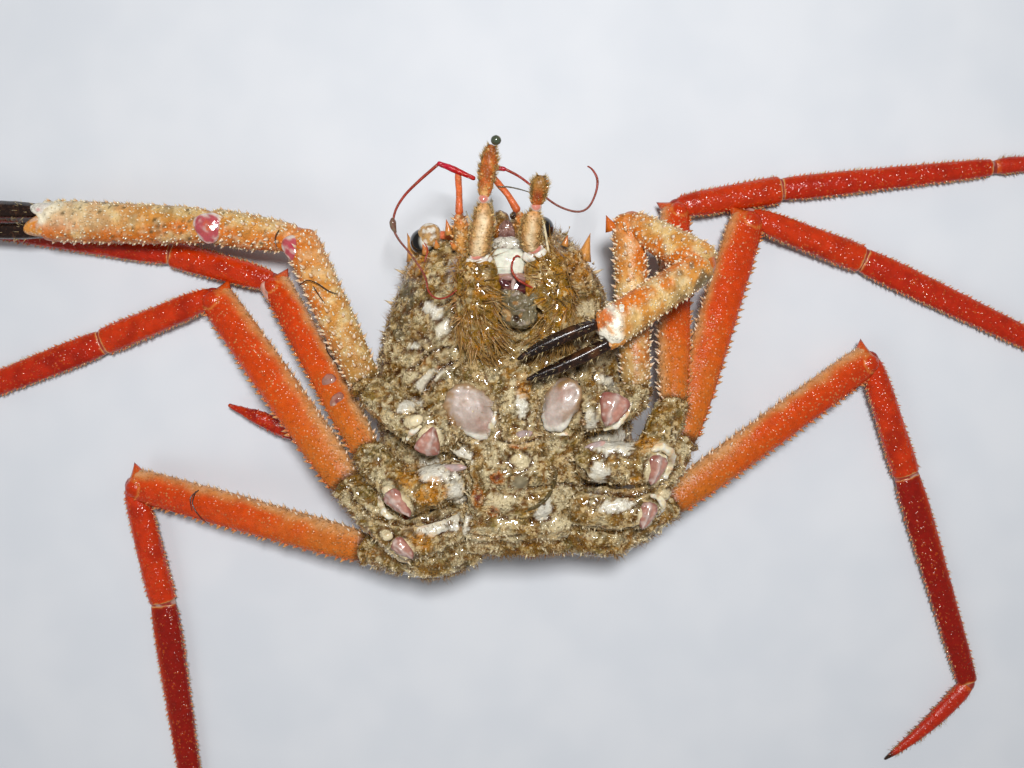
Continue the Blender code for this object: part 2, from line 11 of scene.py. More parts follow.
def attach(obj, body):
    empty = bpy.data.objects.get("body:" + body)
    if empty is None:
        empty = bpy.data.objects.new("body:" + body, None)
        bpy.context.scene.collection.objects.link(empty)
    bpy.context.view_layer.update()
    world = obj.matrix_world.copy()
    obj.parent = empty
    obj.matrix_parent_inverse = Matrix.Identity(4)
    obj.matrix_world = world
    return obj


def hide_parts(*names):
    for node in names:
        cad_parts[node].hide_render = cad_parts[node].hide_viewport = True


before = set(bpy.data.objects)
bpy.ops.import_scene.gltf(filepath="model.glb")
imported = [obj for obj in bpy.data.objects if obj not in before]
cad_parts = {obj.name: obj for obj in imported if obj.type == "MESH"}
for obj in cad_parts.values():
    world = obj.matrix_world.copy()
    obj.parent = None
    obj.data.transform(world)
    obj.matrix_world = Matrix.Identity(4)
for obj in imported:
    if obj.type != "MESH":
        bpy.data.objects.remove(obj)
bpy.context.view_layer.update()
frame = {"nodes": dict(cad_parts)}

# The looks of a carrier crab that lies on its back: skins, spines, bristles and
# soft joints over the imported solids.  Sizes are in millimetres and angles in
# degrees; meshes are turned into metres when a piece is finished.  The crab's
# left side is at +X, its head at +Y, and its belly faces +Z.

MM = 0.001
UP = Vector((0, 0, 1))
BODY = "root"
HOMES = itertools.count()    # numbers of the skins that carry bristles

# Length of each limb piece from the trunk to the tip, half width and half height.
LIMBS = {
    "claw_right": {"merus": (62, 6.3, 5.6), "carpus": (33, 6.6, 6.0),
                   "palm": (64, 7.6, 6.6), "finger": (40, 3.0, 3.0)},
    "claw_left": {"merus": (60, 5.7, 5.4), "carpus": (33, 6.4, 5.8),
                  "palm": (44, 6.5, 5.8), "finger": (27.5, 2.2, 2.5)},
    "leg_2": {"merus": (79, 5.6, 3.9), "carpus": (41, 5.3, 3.7),
              "propodus": (80, 4.6, 2.9), "dactyl": (40, 3.2, 2.4)},
    "leg_3": {"merus": (92, 6.8, 3.9), "carpus": (47, 5.3, 3.7),
              "propodus": (83, 5.2, 2.9), "dactyl": (42, 3.3, 2.4)},
    "leg_4": {"merus": (98, 6.4, 3.9), "carpus": (48, 5.3, 3.7),
              "propodus": (86, 5.4, 2.9), "dactyl": (44, 3.4, 2.4)},
}
# Where each limb's long pieces start, and the heading of each with its end's height.
RUNS = {
    "claw_right": ((-50.5, 1, 42), (117, 22), (171, 18), (178, 15), (179, 10)),
    "claw_left": ((41, -0.5, 42), (92, 33), (-33, 50), (-147, 60), (-156, 61)),
    "leg_2_right": ((-51, -21.5, 40), (123, 7), (165, 3.5), (172, 2.3), (171, 0.7)),
    "leg_2_left": ((54, -5.5, 40), (86, 7), (10, 3.5), (6, 2.3), (0, 0.7)),
    "leg_3_right": ((-58, -34, 37), (129, 7), (-158, 3.5), (-159, 2.3), (-153, 0.7)),
    "leg_3_left": ((56.5, -19, 36), (70, 7), (-20, 3.5), (-25, 2.3), (-26, 0.7)),
    "leg_4_right": ((-52, -57, 31), (168, 7), (-79, 3.5), (-83, 2.3), (-61, 0.7)),
    "leg_4_left": ((53, -41.5, 31), (33, 7), (-70, 3.5), (-72, 2.3), (-135, 0.7)),
}
LEGS = [name for name in RUNS if name.startswith("leg")]
CLAWS = ("claw_right", "claw_left")

# Outlines: place along the piece, share of the half width and of the half height.
OUTLINES = {
    "merus": ((0, .62, .7), (.06, .88, .9), (.2, 1, 1), (.6, 1.03, 1), (.9, 1, 1), (1, .92, .95)),
    "carpus": ((0, .5, .6), (.08, .76, .85), (.25, .9, .95), (.85, 1, 1), (1, .97, .97)),
    "propodus": ((0, .9, .9), (.06, .97, 1), (.2, 1, 1), (.9, .78, .86), (1, .7, .74)),
    "dactyl": ((0, .75, .8), (.1, 1, 1), (.4, .88, .88), (.7, .6, .62), (.9, .34, .36), (1, .14, .16)),
    "claw_merus": ((0, .62, .65), (.1, .88, .9), (.4, 1, 1), (.9, 1.02, 1), (1, .85, .85)),
    "claw_carpus": ((0, .55, .6), (.14, .8, .82), (.5, .96, .95), (.88, 1, 1), (1, .85, .85)),
    "palm": ((0, .62, .65), (.08, .85, .88), (.3, .93, .95), (.75, 1, 1), (.93, 1, .95), (1, .9, .8)),
    "fixed": ((0, 1, 1), (.2, 1.06, 1), (.55, .96, .9), (.85, .62, .6), (1, .26, .26)),
    "moving": ((0, .8, .8), (.25, 1.02, .98), (.55, 1.06, 1), (.85, .66, .62), (1, .26, .26)),
    "joint": ((0, .7, .7), (.15, .92, .92), (.5, 1, 1), (.85, .97, .97), (1, .8, .8)),
}
DACTYL_BOW = 1.5
FINGER_BOW = 0.6
FINGER_SPREAD = {"claw_right": 3.4, "claw_left": 3.6}

# Colours as they look in daylight, red, green and blue out of 255.
COLOURS = {
    "red": (174, 36, 8), "deep red": (134, 17, 4), "scarlet": (188, 48, 8), "orange red": (198, 62, 6),
    "orange": (198, 86, 12), "marigold": (188, 102, 26), "gold": (200, 140, 68), "peach": (216, 150, 92),
    "apricot": (198, 134, 72), "tan": (190, 148, 92), "straw": (214, 184, 122), "olive": (134, 110, 56),
    "dark olive": (84, 72, 44), "khaki": (144, 108, 58), "cream": (226, 210, 172), "oat": (208, 180, 128),
    "sage": (112, 106, 62), "mocha": (138, 100, 60), "honey": (194, 144, 66), "white": (240, 234, 216),
    "bone": (220, 220, 202), "pale": (226, 222, 208), "brown": (104, 62, 28), "dark brown": (48, 28, 16),
    "rust": (200, 96, 30), "russet": (178, 88, 34), "sienna": (158, 96, 42), "ochre": (150, 112, 46),
    "coral": (204, 128, 112), "salmon": (206, 152, 134), "dusky": (160, 110, 94), "haze": (172, 154, 142),
    "pale haze": (204, 188, 178), "mauve": (156, 122, 112), "lilac": (176, 156, 152), "plum": (74, 34, 38),
    "wine": (112, 36, 34), "magenta": (186, 40, 70), "blush": (178, 78, 84), "crimson": (170, 16, 18),
    "brick": (150, 48, 32), "coral orange": (210, 104, 58), "dusky brown": (112, 78, 66),
    "black": (14, 11, 10), "horn": (30, 15, 9), "golden": (162, 118, 44), "grey": (122, 112, 88),
    "slate": (90, 82, 62), "slate green": (70, 78, 60), "amber": (214, 142, 64),
    "claw orange": (202, 102, 20), "saffron": (198, 134, 60), "floor light": (212, 215, 220),
    "floor shade": (206, 210, 216),
}


def linear(name):
    """A named colour as light values."""
    shares = np.array(COLOURS[name], float) / 255
    return np.where(shares <= 0.04045, shares / 12.92, ((shares + 0.055) / 1.055) ** 2.4)


def step_from(point, length, heading, height):
    """The end of a straight piece of this length that ends at this height."""
    rise = height - point.z
    reach = math.sqrt(length ** 2 - rise ** 2)
    turn = math.radians(heading)
    return Vector((point.x + reach * math.cos(turn), point.y + reach * math.sin(turn), height))


def limb_joints(name):
    """The places of a limb's joints, from the start of its long pieces to its tip."""
    start, *run = RUNS[name]
    sizes = LIMBS[name if name in LIMBS else name[:5]]
    joints = [Vector(start)]
    for (length, *_), (heading, height) in zip(sizes.values(), run):
        joints.append(step_from(joints[-1], length, heading, height))
    return joints


def smooth_path(points, steps):
    """More points on a smooth curve through the ones given, with steps to each stretch."""
    points = [Vector(point) for point in points]
    ends = [points[0] * 2 - points[1], *points, points[-1] * 2 - points[-2]]
    path = []
    for before, start, end, after in zip(ends, ends[1:], ends[2:], ends[3:]):
        for step in range(steps):
            t = step / steps
            path.append(0.5 * (2 * start + (end - before) * t
                               + (2 * before - 5 * start + 4 * end - after) * t ** 2
                               + (3 * start - before - 3 * end + after) * t ** 3))
    path.append(points[-1])
    return path


def smoothstep(low, high, values):
    """From 0 to 1 as the values go from low to high, with soft ends."""
    t = np.clip((np.asarray(values, float) - low) / (high - low), 0, 1)
    return t * t * (3 - 2 * t)


class Tube:
    """A closed tube of oval rings along a line, with rounded ends."""

    end_rings = np.array([0.02, 0.12, 0.3, 0.55, 0.8])    # where rings stand on a rounded end

    def __init__(self, line, outline, girth, step, ends, sides=20, square=1.0):
        line = np.array([tuple(point) for point in line], float)
        gone = np.concatenate(([0], np.cumsum(np.linalg.norm(np.diff(line, axis=0), axis=1))))
        self.length = gone[-1]
        self.home = next(HOMES)
        self.sides = sides
        self.square = square
        self.girth = girth
        inner = np.linspace(0, self.length, max(4, round(self.length / step)) + 1)[1:-1]
        first, last = self.end_rings * ends[0], self.length - self.end_rings * ends[1]
        marks = np.concatenate((inner, first, last))
        self.marks = np.unique(np.round(marks, 3))
        self.path = np.stack([np.interp(self.marks, gone, line[:, k]) for k in range(3)], 1)
        slope = np.gradient(self.path, self.marks, axis=0)
        self.along = slope / np.linalg.norm(slope, axis=1)[:, None]
        side = np.cross(self.along, UP)
        self.side = side / np.linalg.norm(side, axis=1)[:, None]
        self.top = np.cross(self.side, self.along)
        self.sizes = self.shares(outline) * np.array(girth)
        self.sizes *= self.rounding(ends)[:, None]

    def shares(self, outline):
        """The outline's widths and heights at each ring, with its corners eased."""
        fine = np.linspace(0, 1, 241)
        rows = np.array(outline, float)
        window = np.ones(17) / 17
        found = []
        for column in (1, 2):
            values = np.pad(np.interp(fine, rows[:, 0], rows[:, column]), 8, mode="edge")
            found.append(np.interp(self.marks / self.length, fine, np.convolve(values, window, "valid")))
        return np.stack(found, 1)

    def rounding(self, ends):
        """How much each ring shrinks where the tube's ends are rounded."""
        from_start = np.clip(self.marks / ends[0], 0, 1)
        from_end = np.clip((self.length - self.marks) / ends[1], 0, 1)
        return np.sqrt(1 - (1 - from_start) ** 2) * np.sqrt(1 - (1 - from_end) ** 2)

    def ring_matrix(self, index):
        """The matrix that takes a flat unit circle to a ring."""
        wide, high = self.sizes[index]
        columns = (self.side[index] * wide, self.top[index] * high, self.along[index], self.path[index])
        rows = np.array(columns).T
        return Matrix([(*row,) for row in rows] + [(0, 0, 0, 1)])

    def mesh(self):
        """The tube as a bmesh."""
        shape = bmesh.new()
        ring = bmesh.ops.create_circle(shape, segments=self.sides, radius=1)["verts"]
        for vert in ring:
            vert.co = [math.copysign(abs(value) ** self.square, value) for value in vert.co]
        edges = shape.edges[:]
        placed = Matrix()
        for index in range(len(self.marks)):
            if index:
                made = bmesh.ops.extrude_edge_only(shape, edges=edges)["geom"]
                ring = [item for item in made if isinstance(item, bmesh.types.BMVert)]
                edges = [item for item in made if isinstance(item, bmesh.types.BMEdge) and item.is_boundary]
            target = self.ring_matrix(index)
            bmesh.ops.transform(shape, matrix=target @ placed.inverted(), verts=ring)
            placed = target
        rims = [edge for edge in shape.edges if edge.is_boundary]
        bmesh.ops.holes_fill(shape, edges=rims, sides=0)
        bmesh.ops.recalc_face_normals(shape, faces=shape.faces)
        return shape

    def skin(self, place, turn):
        """A point on the surface, the way out of it there, and the way along."""
        mark = place * self.length
        pick = [np.interp(mark, self.marks, values) for values in self.sizes.T]
        frame = [np.array([np.interp(mark, self.marks, values) for values in rows.T])
                 for rows in (self.path, self.side, self.top, self.along)]
        angle = math.radians(turn)
        across, up = (math.copysign(abs(value) ** self.square, value) * half
                      for value, half in zip((math.cos(angle), math.sin(angle)), pick))
        point = frame[0] + frame[1] * across + frame[2] * up
        out = frame[1] * across / max(pick[0], .1) ** 2 + frame[2] * up / max(pick[1], .1) ** 2
        return point, out / np.linalg.norm(out), frame[3]

    def local(self, points):
        """For each point: distance along in millimetres, and share of the girth across and up."""
        near = np.zeros(len(points), int)
        best = np.full(len(points), np.inf)
        for index, centre in enumerate(self.path):
            apart = ((points - centre) ** 2).sum(1)
            closer = apart < best
            best[closer] = apart[closer]
            near[closer] = index
        offset = points - self.path[near]
        along = self.marks[near] + (offset * self.along[near]).sum(1)
        across = (offset * self.side[near]).sum(1) / self.girth[0]
        up = (offset * self.top[near]).sum(1) / self.girth[1]
        return along, across, up


def grain(points, size, shift=0.0):
    """Smooth noise between about -1 and 1 at each point, whose lumps have this size."""
    move = Vector((shift * 7.3, shift * 3.1, shift * 5.7))
    return np.array([noise.noise(Vector(point) / size + move) for point in points])


def add_object(name, shape):
    """Turn a bmesh into an object."""
    mesh = bpy.data.meshes.new(name)
    shape.to_mesh(mesh)
    shape.free()
    item = bpy.data.objects.new(name, mesh)
    bpy.context.scene.collection.objects.link(item)
    return item


def apply_modifiers(item):
    """Work an object's modifiers into its mesh."""
    graph = bpy.context.evaluated_depsgraph_get()
    mesh = bpy.data.meshes.new_from_object(item.evaluated_get(graph))
    item.modifiers.clear()
    old = item.data
    item.data = mesh
    bpy.data.meshes.remove(old)
    mesh.name = item.name


def soften(item):
    """Subdivide a coarse form into a soft one."""
    modifier = item.modifiers.new("soften", "SUBSURF")
    modifier.levels = modifier.render_levels = 1
    apply_modifiers(item)
    return item


class Skin:
    """A mesh's points, ways out and colours while they are worked on."""

    def __init__(self, item, colour="khaki", roughness=0.4):
        self.item = item
        mesh = item.data
        count = len(mesh.vertices)
        self.points = np.empty(count * 3)
        mesh.vertices.foreach_get("co", self.points)
        self.points = self.points.reshape(-1, 3)
        self.tint = np.empty((count, 4))
        self.tint[:, :3] = linear(colour)
        self.tint[:, 3] = roughness
        self.hair = np.ones(count)
        self.calm = np.zeros(count)
        self.home = next(HOMES)
        self.read_out()

    def read_out(self):
        """The way out of the surface at each point."""
        self.out = np.empty(len(self.points) * 3)
        self.item.data.vertex_normals.foreach_get("vector", self.out)
        self.out = self.out.reshape(-1, 3)

    def write(self):
        """Put the points back into the mesh, none of them below the floor."""
        self.points[:, 2] = np.maximum(self.points[:, 2], REST)
        self.item.data.vertices.foreach_set("co", self.points.ravel())
        self.item.data.update()
        self.read_out()

    def raise_by(self, height):
        """Move each point out by its own height."""
        self.points += self.out * np.asarray(height)[:, None]
        self.write()

    def colour(self, name, share, roughness=None):
        """Lay a colour over the skin, as thick as its share at each point."""
        share = np.clip(share, 0, 1)[:, None]
        self.tint[:, :3] += (linear(name) - self.tint[:, :3]) * share
        if roughness is not None:
            self.tint[:, 3:] += (roughness - self.tint[:, 3:]) * share

    def shade(self, name, low, high, values, share=1, roughness=None):
        """Lay a colour where the values climb from low to high."""
        self.colour(name, smoothstep(low, high, values) * share, roughness)

    def paint(self, name, roughness):
        """Lay a colour over the whole skin."""
        self.colour(name, np.ones(len(self.points)), roughness)

    def grain(self, size, shift):
        """Smooth noise between about -1 and 1 at the skin's points."""
        return grain(self.points, size, shift)

    def patches(self, name, size, shift, low, high, share, roughness=None):
        """Lay a colour in patches of this size."""
        self.shade(name, low, high, self.grain(size, shift), share, roughness)

    def roughen(self, *layers):
        """Raise the skin by layers of noise, each with its size, its shift and its height."""
        self.raise_by(sum(self.grain(size, shift) * height for size, shift, height in layers))

    def neighbours(self, values, rounds=1):
        """The mean of the values over each point's neighbours."""
        mesh = self.item.data
        ends = np.empty(len(mesh.edges) * 2, int)
        mesh.edges.foreach_get("vertices", ends)
        ends = ends.reshape(-1, 2)
        degree = np.bincount(ends.ravel(), minlength=len(self.points)).astype(float)
        for _ in range(rounds):
            total = np.zeros_like(values)
            np.add.at(total, ends[:, 0], values[ends[:, 1]])
            np.add.at(total, ends[:, 1], values[ends[:, 0]])
            values = total / degree.reshape((-1,) + (1,) * (values.ndim - 1))
        return values

    def relax(self, rounds, share=0.5):
        """Smooth the surface."""
        for _ in range(rounds):
            self.points += (self.neighbours(self.points) - self.points) * share
        self.write()

    def hollows(self, rounds=3):
        """How deep each point lies below the ground around it."""
        return ((self.neighbours(self.points, rounds) - self.points) * self.out).sum(1)

    def unroll(self, points):
        """Places on the skin unrolled round its middle: share of a turn, and share of the height."""
        low, high = self.points.min(0), self.points.max(0)
        offset = (points - (low + high) / 2) / (high - low)
        turn = np.arctan2(offset[:, 1], offset[:, 0]) / (2 * math.pi) + 0.5
        fall = np.arctan2(np.hypot(offset[:, 0], offset[:, 1]), offset[:, 2]) / math.pi
        return np.stack([turn, fall], 1)

    def finish(self, material, slot, *nodes):
        """Keep the colours and the smoothness of each point on the mesh, and finish the piece."""
        layer = self.item.data.color_attributes.new("tint", "FLOAT_COLOR", "POINT")
        layer.data.foreach_set("color", self.tint.ravel())
        layer = self.item.data.attributes.new("calm", "FLOAT", "POINT")
        layer.data.foreach_set("value", self.calm)
        finish_piece(self.item, material, slot, *nodes)


def finish_piece(item, material, slot, *nodes):
    """Give a piece its material and its place on the crab's body."""
    mesh = item.data
    mesh.transform(Matrix.Scale(MM, 4))
    mesh.polygons.foreach_set("use_smooth", [True] * len(mesh.polygons))
    mesh.materials.clear()
    mesh.materials.append(MATERIALS[material])
    mesh.update()
    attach(item, BODY)
    if nodes:
        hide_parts(*nodes)


def spike(sides, cuts):
    """A closed upright spike, one high and one wide, with cuts across it."""
    shape = bmesh.new()
    bmesh.ops.create_cone(shape, cap_ends=True, segments=sides, radius1=1, radius2=0, depth=1)
    bmesh.ops.translate(shape, vec=(0, 0, 0.5), verts=shape.verts)
    bmesh.ops.remove_doubles(shape, verts=shape.verts, dist=0.0001)
    for height in cuts:
        everything = shape.verts[:] + shape.edges[:] + shape.faces[:]
        bmesh.ops.bisect_plane(shape, geom=everything, plane_co=(0, 0, height), plane_no=(0, 0, 1))
    bmesh.ops.recalc_face_normals(shape, faces=shape.faces)
    return shape


def bristle():
    """A thin bristle with one bend."""
    return spike(3, (0.5,))


def thorn():
    """A stout thorn with a rounded foot."""
    return spike(7, (0.3, 0.65))


def strand():
    """A long hair with several bends."""
    return spike(3, (0.25, 0.5, 0.75))


class Crop:
    """Roots of bristles or thorns: where they stand, which way, how long and what colour."""

    def __init__(self):
        self.rows = []

    def plant(self, roots, outs, bends, lengths, widths, feet, tips, home=0, spots=(0.5, 0.5)):
        """Add many at once; each value may be one for all of them."""
        count = len(roots)
        columns = []
        for value, wide in ((roots, 3), (outs, 3), (bends, 3), (lengths, 1), (widths, 1), (feet, 4),
                            (tips, 4), (home, 1), (spots, 2)):
            value = np.asarray(value, float)
            if value.ndim < 2 and wide == 1 and value.size == count:
                value = value.reshape(-1, 1)
            columns.append(np.broadcast_to(value, (count, wide)))
        self.rows.append(np.concatenate(columns, 1))

    def grow(self, name, template, material, slot, taper=1.0):
        """One mesh with a copy of the template on every root whose tip stays above the floor."""
        rows = np.concatenate(self.rows)
        rise = rows[:, 5] / np.linalg.norm(rows[:, 3:6], axis=1) + rows[:, 8]
        rows = rows[np.minimum(rows[:, 2], rows[:, 2] + rows[:, 9] * rise) > TIP_REST]
        item = add_object(name, template)
        array = item.modifiers.new("copies", "ARRAY")
        array.use_relative_offset = False
        array.use_constant_offset = True
        array.constant_offset_displace = (0, 0, 0)
        array.count = len(rows)
        apply_modifiers(item)
        mesh = item.data
        unit = np.empty(len(mesh.vertices) * 3)
        mesh.vertices.foreach_get("co", unit)
        unit = unit.reshape(len(rows), -1, 3)
        roots, outs, bends = rows[:, 0:3], rows[:, 3:6], rows[:, 6:9]
        lengths, widths = rows[:, 9:10], rows[:, 10:11]
        outs = outs / np.linalg.norm(outs, axis=1)[:, None]
        spare = np.where(np.abs(outs[:, 2:3]) < 0.9, (0.0, 0.0, 1.0), (1.0, 0.0, 0.0))
        side = np.cross(outs, spare)
        side /= np.linalg.norm(side, axis=1)[:, None]
        front = np.cross(outs, side)
        height = unit[:, :, 2:3]
        slim = widths[:, None] * np.where(height < 0.999, (1 - height) ** (taper - 1), 1)
        points = roots[:, None] + side[:, None] * unit[:, :, 0:1] * slim
        points = points + front[:, None] * unit[:, :, 1:2] * slim
        points = points + lengths[:, None] * (outs[:, None] * height + bends[:, None] * height ** 2)
        mesh.vertices.foreach_set("co", points.ravel())
        tint = rows[:, None, 11:15] * (1 - height) + rows[:, None, 15:19] * height
        layer = mesh.color_attributes.new("tint", "FLOAT_COLOR", "POINT")
        layer.data.foreach_set("color", tint.ravel())
        self.lay_out(mesh, unit, rows[:, 19], rows[:, 20:22])
        mesh.update()
        finish_piece(item, material, slot)

    def lay_out(self, mesh, unit, homes, spots):
        """A small patch for each copy, at its root's place on the unrolled skin it stands on."""
        tiles, margin, patch = 14, 0.04, 0.0015
        corners = np.stack([homes % tiles, homes // tiles % tiles], 1)
        places = (corners + margin + (1 - 2 * margin) * np.clip(spots, 0, 1)) / tiles
        spots = places[:, None] + unit[:, :, :2] * patch
        spots = spots.reshape(-1, 2)
        index = np.empty(len(mesh.loops), int)
        mesh.loops.foreach_get("vertex_index", index)
        layer = mesh.uv_layers.new(name="OFBake")
        layer.data.foreach_set("uv", spots[index].ravel())


def rgba(name, roughness=0.4):
    """A named colour with its roughness."""
    return np.append(linear(name), roughness)


def sprinkle(skin, spacing, seed, mask):
    """Points strewn over a skin, thicker where the mask is high."""
    mesh = skin.item.data
    mesh.calc_loop_triangles()
    corners = np.empty(len(mesh.loop_triangles) * 3, int)
    mesh.loop_triangles.foreach_get("vertices", corners)
    corners = corners.reshape(-1, 3)
    a, b, c = (skin.points[corners[:, k]] for k in range(3))
    weight = np.linalg.norm(np.cross(b - a, c - a), axis=1) / 2 * np.clip(mask, 0, 1)[corners].mean(1)
    total = weight.sum()
    draw = np.random.default_rng(seed)
    count = int(total / spacing ** 2)
    chosen = draw.choice(len(corners), count, p=weight / total)
    shares = draw.dirichlet((1, 1, 1), count)
    pick = corners[chosen]
    roots = (skin.points[pick] * shares[:, :, None]).sum(1)
    outs = (skin.out[pick] * shares[:, :, None]).sum(1)
    tints = (skin.tint[pick] * shares[:, :, None]).sum(1)
    return roots, outs, tints, draw


class Graph:
    """The nodes of one material, added one after another."""

    def __init__(self, name, coat=0.0, coat_roughness=0.1, specular=0.5, subsurface=0.0):
        self.material = bpy.data.materials.new(name)
        self.material.use_nodes = True
        self.tree = self.material.node_tree
        self.shader = self.tree.nodes["Principled BSDF"]
        self.shader.inputs["Coat Weight"].default_value = coat
        self.shader.inputs["Coat Roughness"].default_value = coat_roughness
        self.shader.inputs["Specular IOR Level"].default_value = specular
        self.shader.inputs["Subsurface Weight"].default_value = subsurface
        self.shader.inputs["Subsurface Scale"].default_value = 0.002
        self.where = self.add("ShaderNodeTexCoord").outputs["Object"]
        painted = self.add("ShaderNodeAttribute", attribute_name="tint")
        self.tint = painted.outputs["Color"]
        self.rough = painted.outputs["Alpha"]

    def rugged(self):
        """One where the skin is rough, and nothing where it is painted smooth."""
        calm = self.add("ShaderNodeAttribute", attribute_name="calm").outputs["Fac"]
        return self.sum(1.0, calm, "SUBTRACT")

    def add(self, kind, inputs=None, **settings):
        """A node with its settings, and its inputs set or linked."""
        node = self.tree.nodes.new(kind)
        for key, value in settings.items():
            setattr(node, key, value)
        for key, value in (inputs or {}).items():
            if isinstance(value, bpy.types.NodeSocket):
                self.tree.links.new(value, node.inputs[key])
            else:
                node.inputs[key].default_value = value
        return node

    def noise(self, size, detail=3.0, rough=0.55):
        """Noise whose lumps have this size."""
        scale = {"Vector": self.where, "Scale": 1 / (size * MM), "Detail": detail, "Roughness": rough}
        return self.add("ShaderNodeTexNoise", scale).outputs["Fac"]

    def cells(self, size):
        """Distance to the middle of round cells of this size."""
        inputs = {"Vector": self.where, "Scale": 1 / (size * MM), "Randomness": 1.0}
        return self.add("ShaderNodeTexVoronoi", inputs, feature="F1").outputs["Distance"]

    def between(self, value, low, high, bottom=0.0, top=1.0):
        """A soft step of a value from one level to another."""
        inputs = {"Value": value, "From Min": low, "From Max": high, "To Min": bottom, "To Max": top}
        return self.add("ShaderNodeMapRange", inputs, interpolation_type="SMOOTHSTEP").outputs["Result"]

    def sum(self, one, other, operation="ADD"):
        """Two values worked together."""
        return self.add("ShaderNodeMath", {0: one, 1: other}, operation=operation).outputs[0]

    def times(self, one, other):
        """The product of two values."""
        return self.sum(one, other, "MULTIPLY")

    def mix(self, share, under, over):
        """One colour laid over another."""
        node = self.add("ShaderNodeMix", {"Factor": share}, data_type="RGBA", blend_type="MIX")
        for key, value in ((6, under), (7, over)):
            if isinstance(value, bpy.types.NodeSocket):
                self.tree.links.new(value, node.inputs[key])
            else:
                node.inputs[key].default_value = (*linear(value), 1)
        return node.outputs[2]

    def shift(self, colour, value, saturation=1.0):
        """A colour made lighter or darker by a value around one."""
        inputs = {"Color": colour, "Value": value, "Saturation": saturation}
        return self.add("ShaderNodeHueSaturation", inputs).outputs["Color"]

    def bump(self, height, depth):
        """Small relief, its depth in millimetres."""
        inputs = {"Height": height, "Distance": depth * MM, "Strength": 1.0}
        return self.add("ShaderNodeBump", inputs).outputs["Normal"]

    def done(self, colour, roughness, normal=None):
        """Link what was made to the shader."""
        links = [("Base Color", colour), ("Roughness", roughness), ("Normal", normal)]
        for key, socket in links:
            if socket:
                self.tree.links.new(socket, self.shader.inputs[key])
        return self.material


def shell_finish(name, grit=1.1, speck="peach", speck_share=0.5, depth=0.2, specular=0.3, mottle=0.16):
    """Hard shell: fine warts that catch the light, small specks, and soft mottling."""
    graph = Graph(name, specular=specular)
    warts = graph.cells(grit)
    fine = graph.noise(0.5, 2)
    broad = graph.noise(2.4, 4)
    dots = graph.between(warts, 0.4, 0.15, 0, speck_share)
    patchy = graph.between(graph.noise(7, 3), 0.4, 0.62)
    colour = graph.shift(graph.tint, graph.between(broad, 0.3, 0.7, 1 - mottle, 1 + mottle))
    colour = graph.mix(graph.times(dots, patchy), colour, speck)
    colour = graph.mix(graph.between(fine, 0.42, 0.2, 0, 0.5), colour, "brown")
    height = graph.sum(graph.between(warts, 0.5, 0.0), graph.times(fine, 0.5))
    rough = graph.sum(graph.rough, graph.between(fine, 0.3, 0.7, -0.05, 0.1))
    return graph.done(colour, rough, graph.bump(height, depth))


def flesh_finish(name, coat=0.5, depth=0.16, subsurface=0.06):
    """Soft wet skin with faint veins."""
    graph = Graph(name, coat=coat, coat_roughness=0.06, subsurface=subsurface)
    veins = graph.noise(1.6, 5, 0.65)
    folds = graph.noise(3.5, 2)
    colour = graph.shift(graph.tint, graph.between(veins, 0.3, 0.7, 0.84, 1.12))
    height = graph.sum(folds, graph.times(veins, 0.3))
    return graph.done(colour, graph.rough, graph.bump(height, depth))


def crust_finish():
    """The trunk's crust: grit, worn cream patches and wet hollows over its painted colours."""
    graph = Graph("trunk_crust", coat=0.8, coat_roughness=0.04, specular=0.4)
    rugged = graph.rugged()
    grit = graph.noise(0.55, 3, 0.6)
    warts = graph.cells(1.3)
    broad = graph.noise(3.2, 4, 0.6)
    stain = graph.between(graph.noise(3.2, 5, 0.65), 0.52, 0.62, 0, 0.65)
    pale = graph.between(graph.noise(4.2, 5, 0.65), 0.55, 0.61, 0, 0.85)
    dark = graph.between(grit, 0.44, 0.3, 0, 0.75)
    colour = graph.shift(graph.tint, graph.between(broad, 0.3, 0.7, 0.62, 1.15), 1.15)
    colour = graph.mix(rugged, graph.tint, colour)
    colour = graph.mix(graph.times(stain, rugged), colour, "dark olive")
    colour = graph.mix(graph.times(pale, rugged), colour, "oat")
    colour = graph.mix(graph.times(dark, rugged), colour, "brown")
    height = graph.sum(graph.between(warts, 0.5, 0), graph.times(grit, 0.9))
    height = graph.times(height, graph.between(rugged, 0, 1, 0.06, 1))
    change = graph.times(graph.between(grit, 0.3, 0.7, -0.26, 0.14), rugged)
    return graph.done(colour, graph.sum(graph.rough, change), graph.bump(height, 0.5))


def horn_finish():
    """The black fingers: glossy horn with a brown cast and fine lengthwise scratches."""
    graph = Graph("black_horn", coat=0.25, coat_roughness=0.05, specular=0.5)
    streaks = graph.noise(1.2, 4, 0.7)
    colour = graph.mix(graph.between(streaks, 0.5, 0.75, 0, 0.5), graph.tint, "brown")
    rough = graph.sum(graph.rough, graph.between(streaks, 0.3, 0.7, -0.05, 0.15))
    return graph.done(colour, rough, graph.bump(streaks, 0.18))


def hair_finish():
    """Bristles: their own colours with a change from hair to hair."""
    graph = Graph("bristles", coat=0.3, coat_roughness=0.2, subsurface=0.05)
    patches = graph.noise(1.8, 3)
    colour = graph.shift(graph.tint, graph.between(patches, 0.3, 0.7, 0.7, 1.25))
    return graph.done(colour, graph.sum(graph.rough, graph.between(patches, 0.3, 0.7, -0.08, 0.1)))


def thorn_finish():
    """Spines: their own colours, with fine rings of wear."""
    graph = Graph("spine_shell", coat=0.3, coat_roughness=0.06, specular=0.6)
    wear = graph.noise(0.8, 3)
    colour = graph.shift(graph.tint, graph.between(wear, 0.3, 0.7, 0.85, 1.15))
    return graph.done(colour, graph.rough, graph.bump(wear, 0.1))


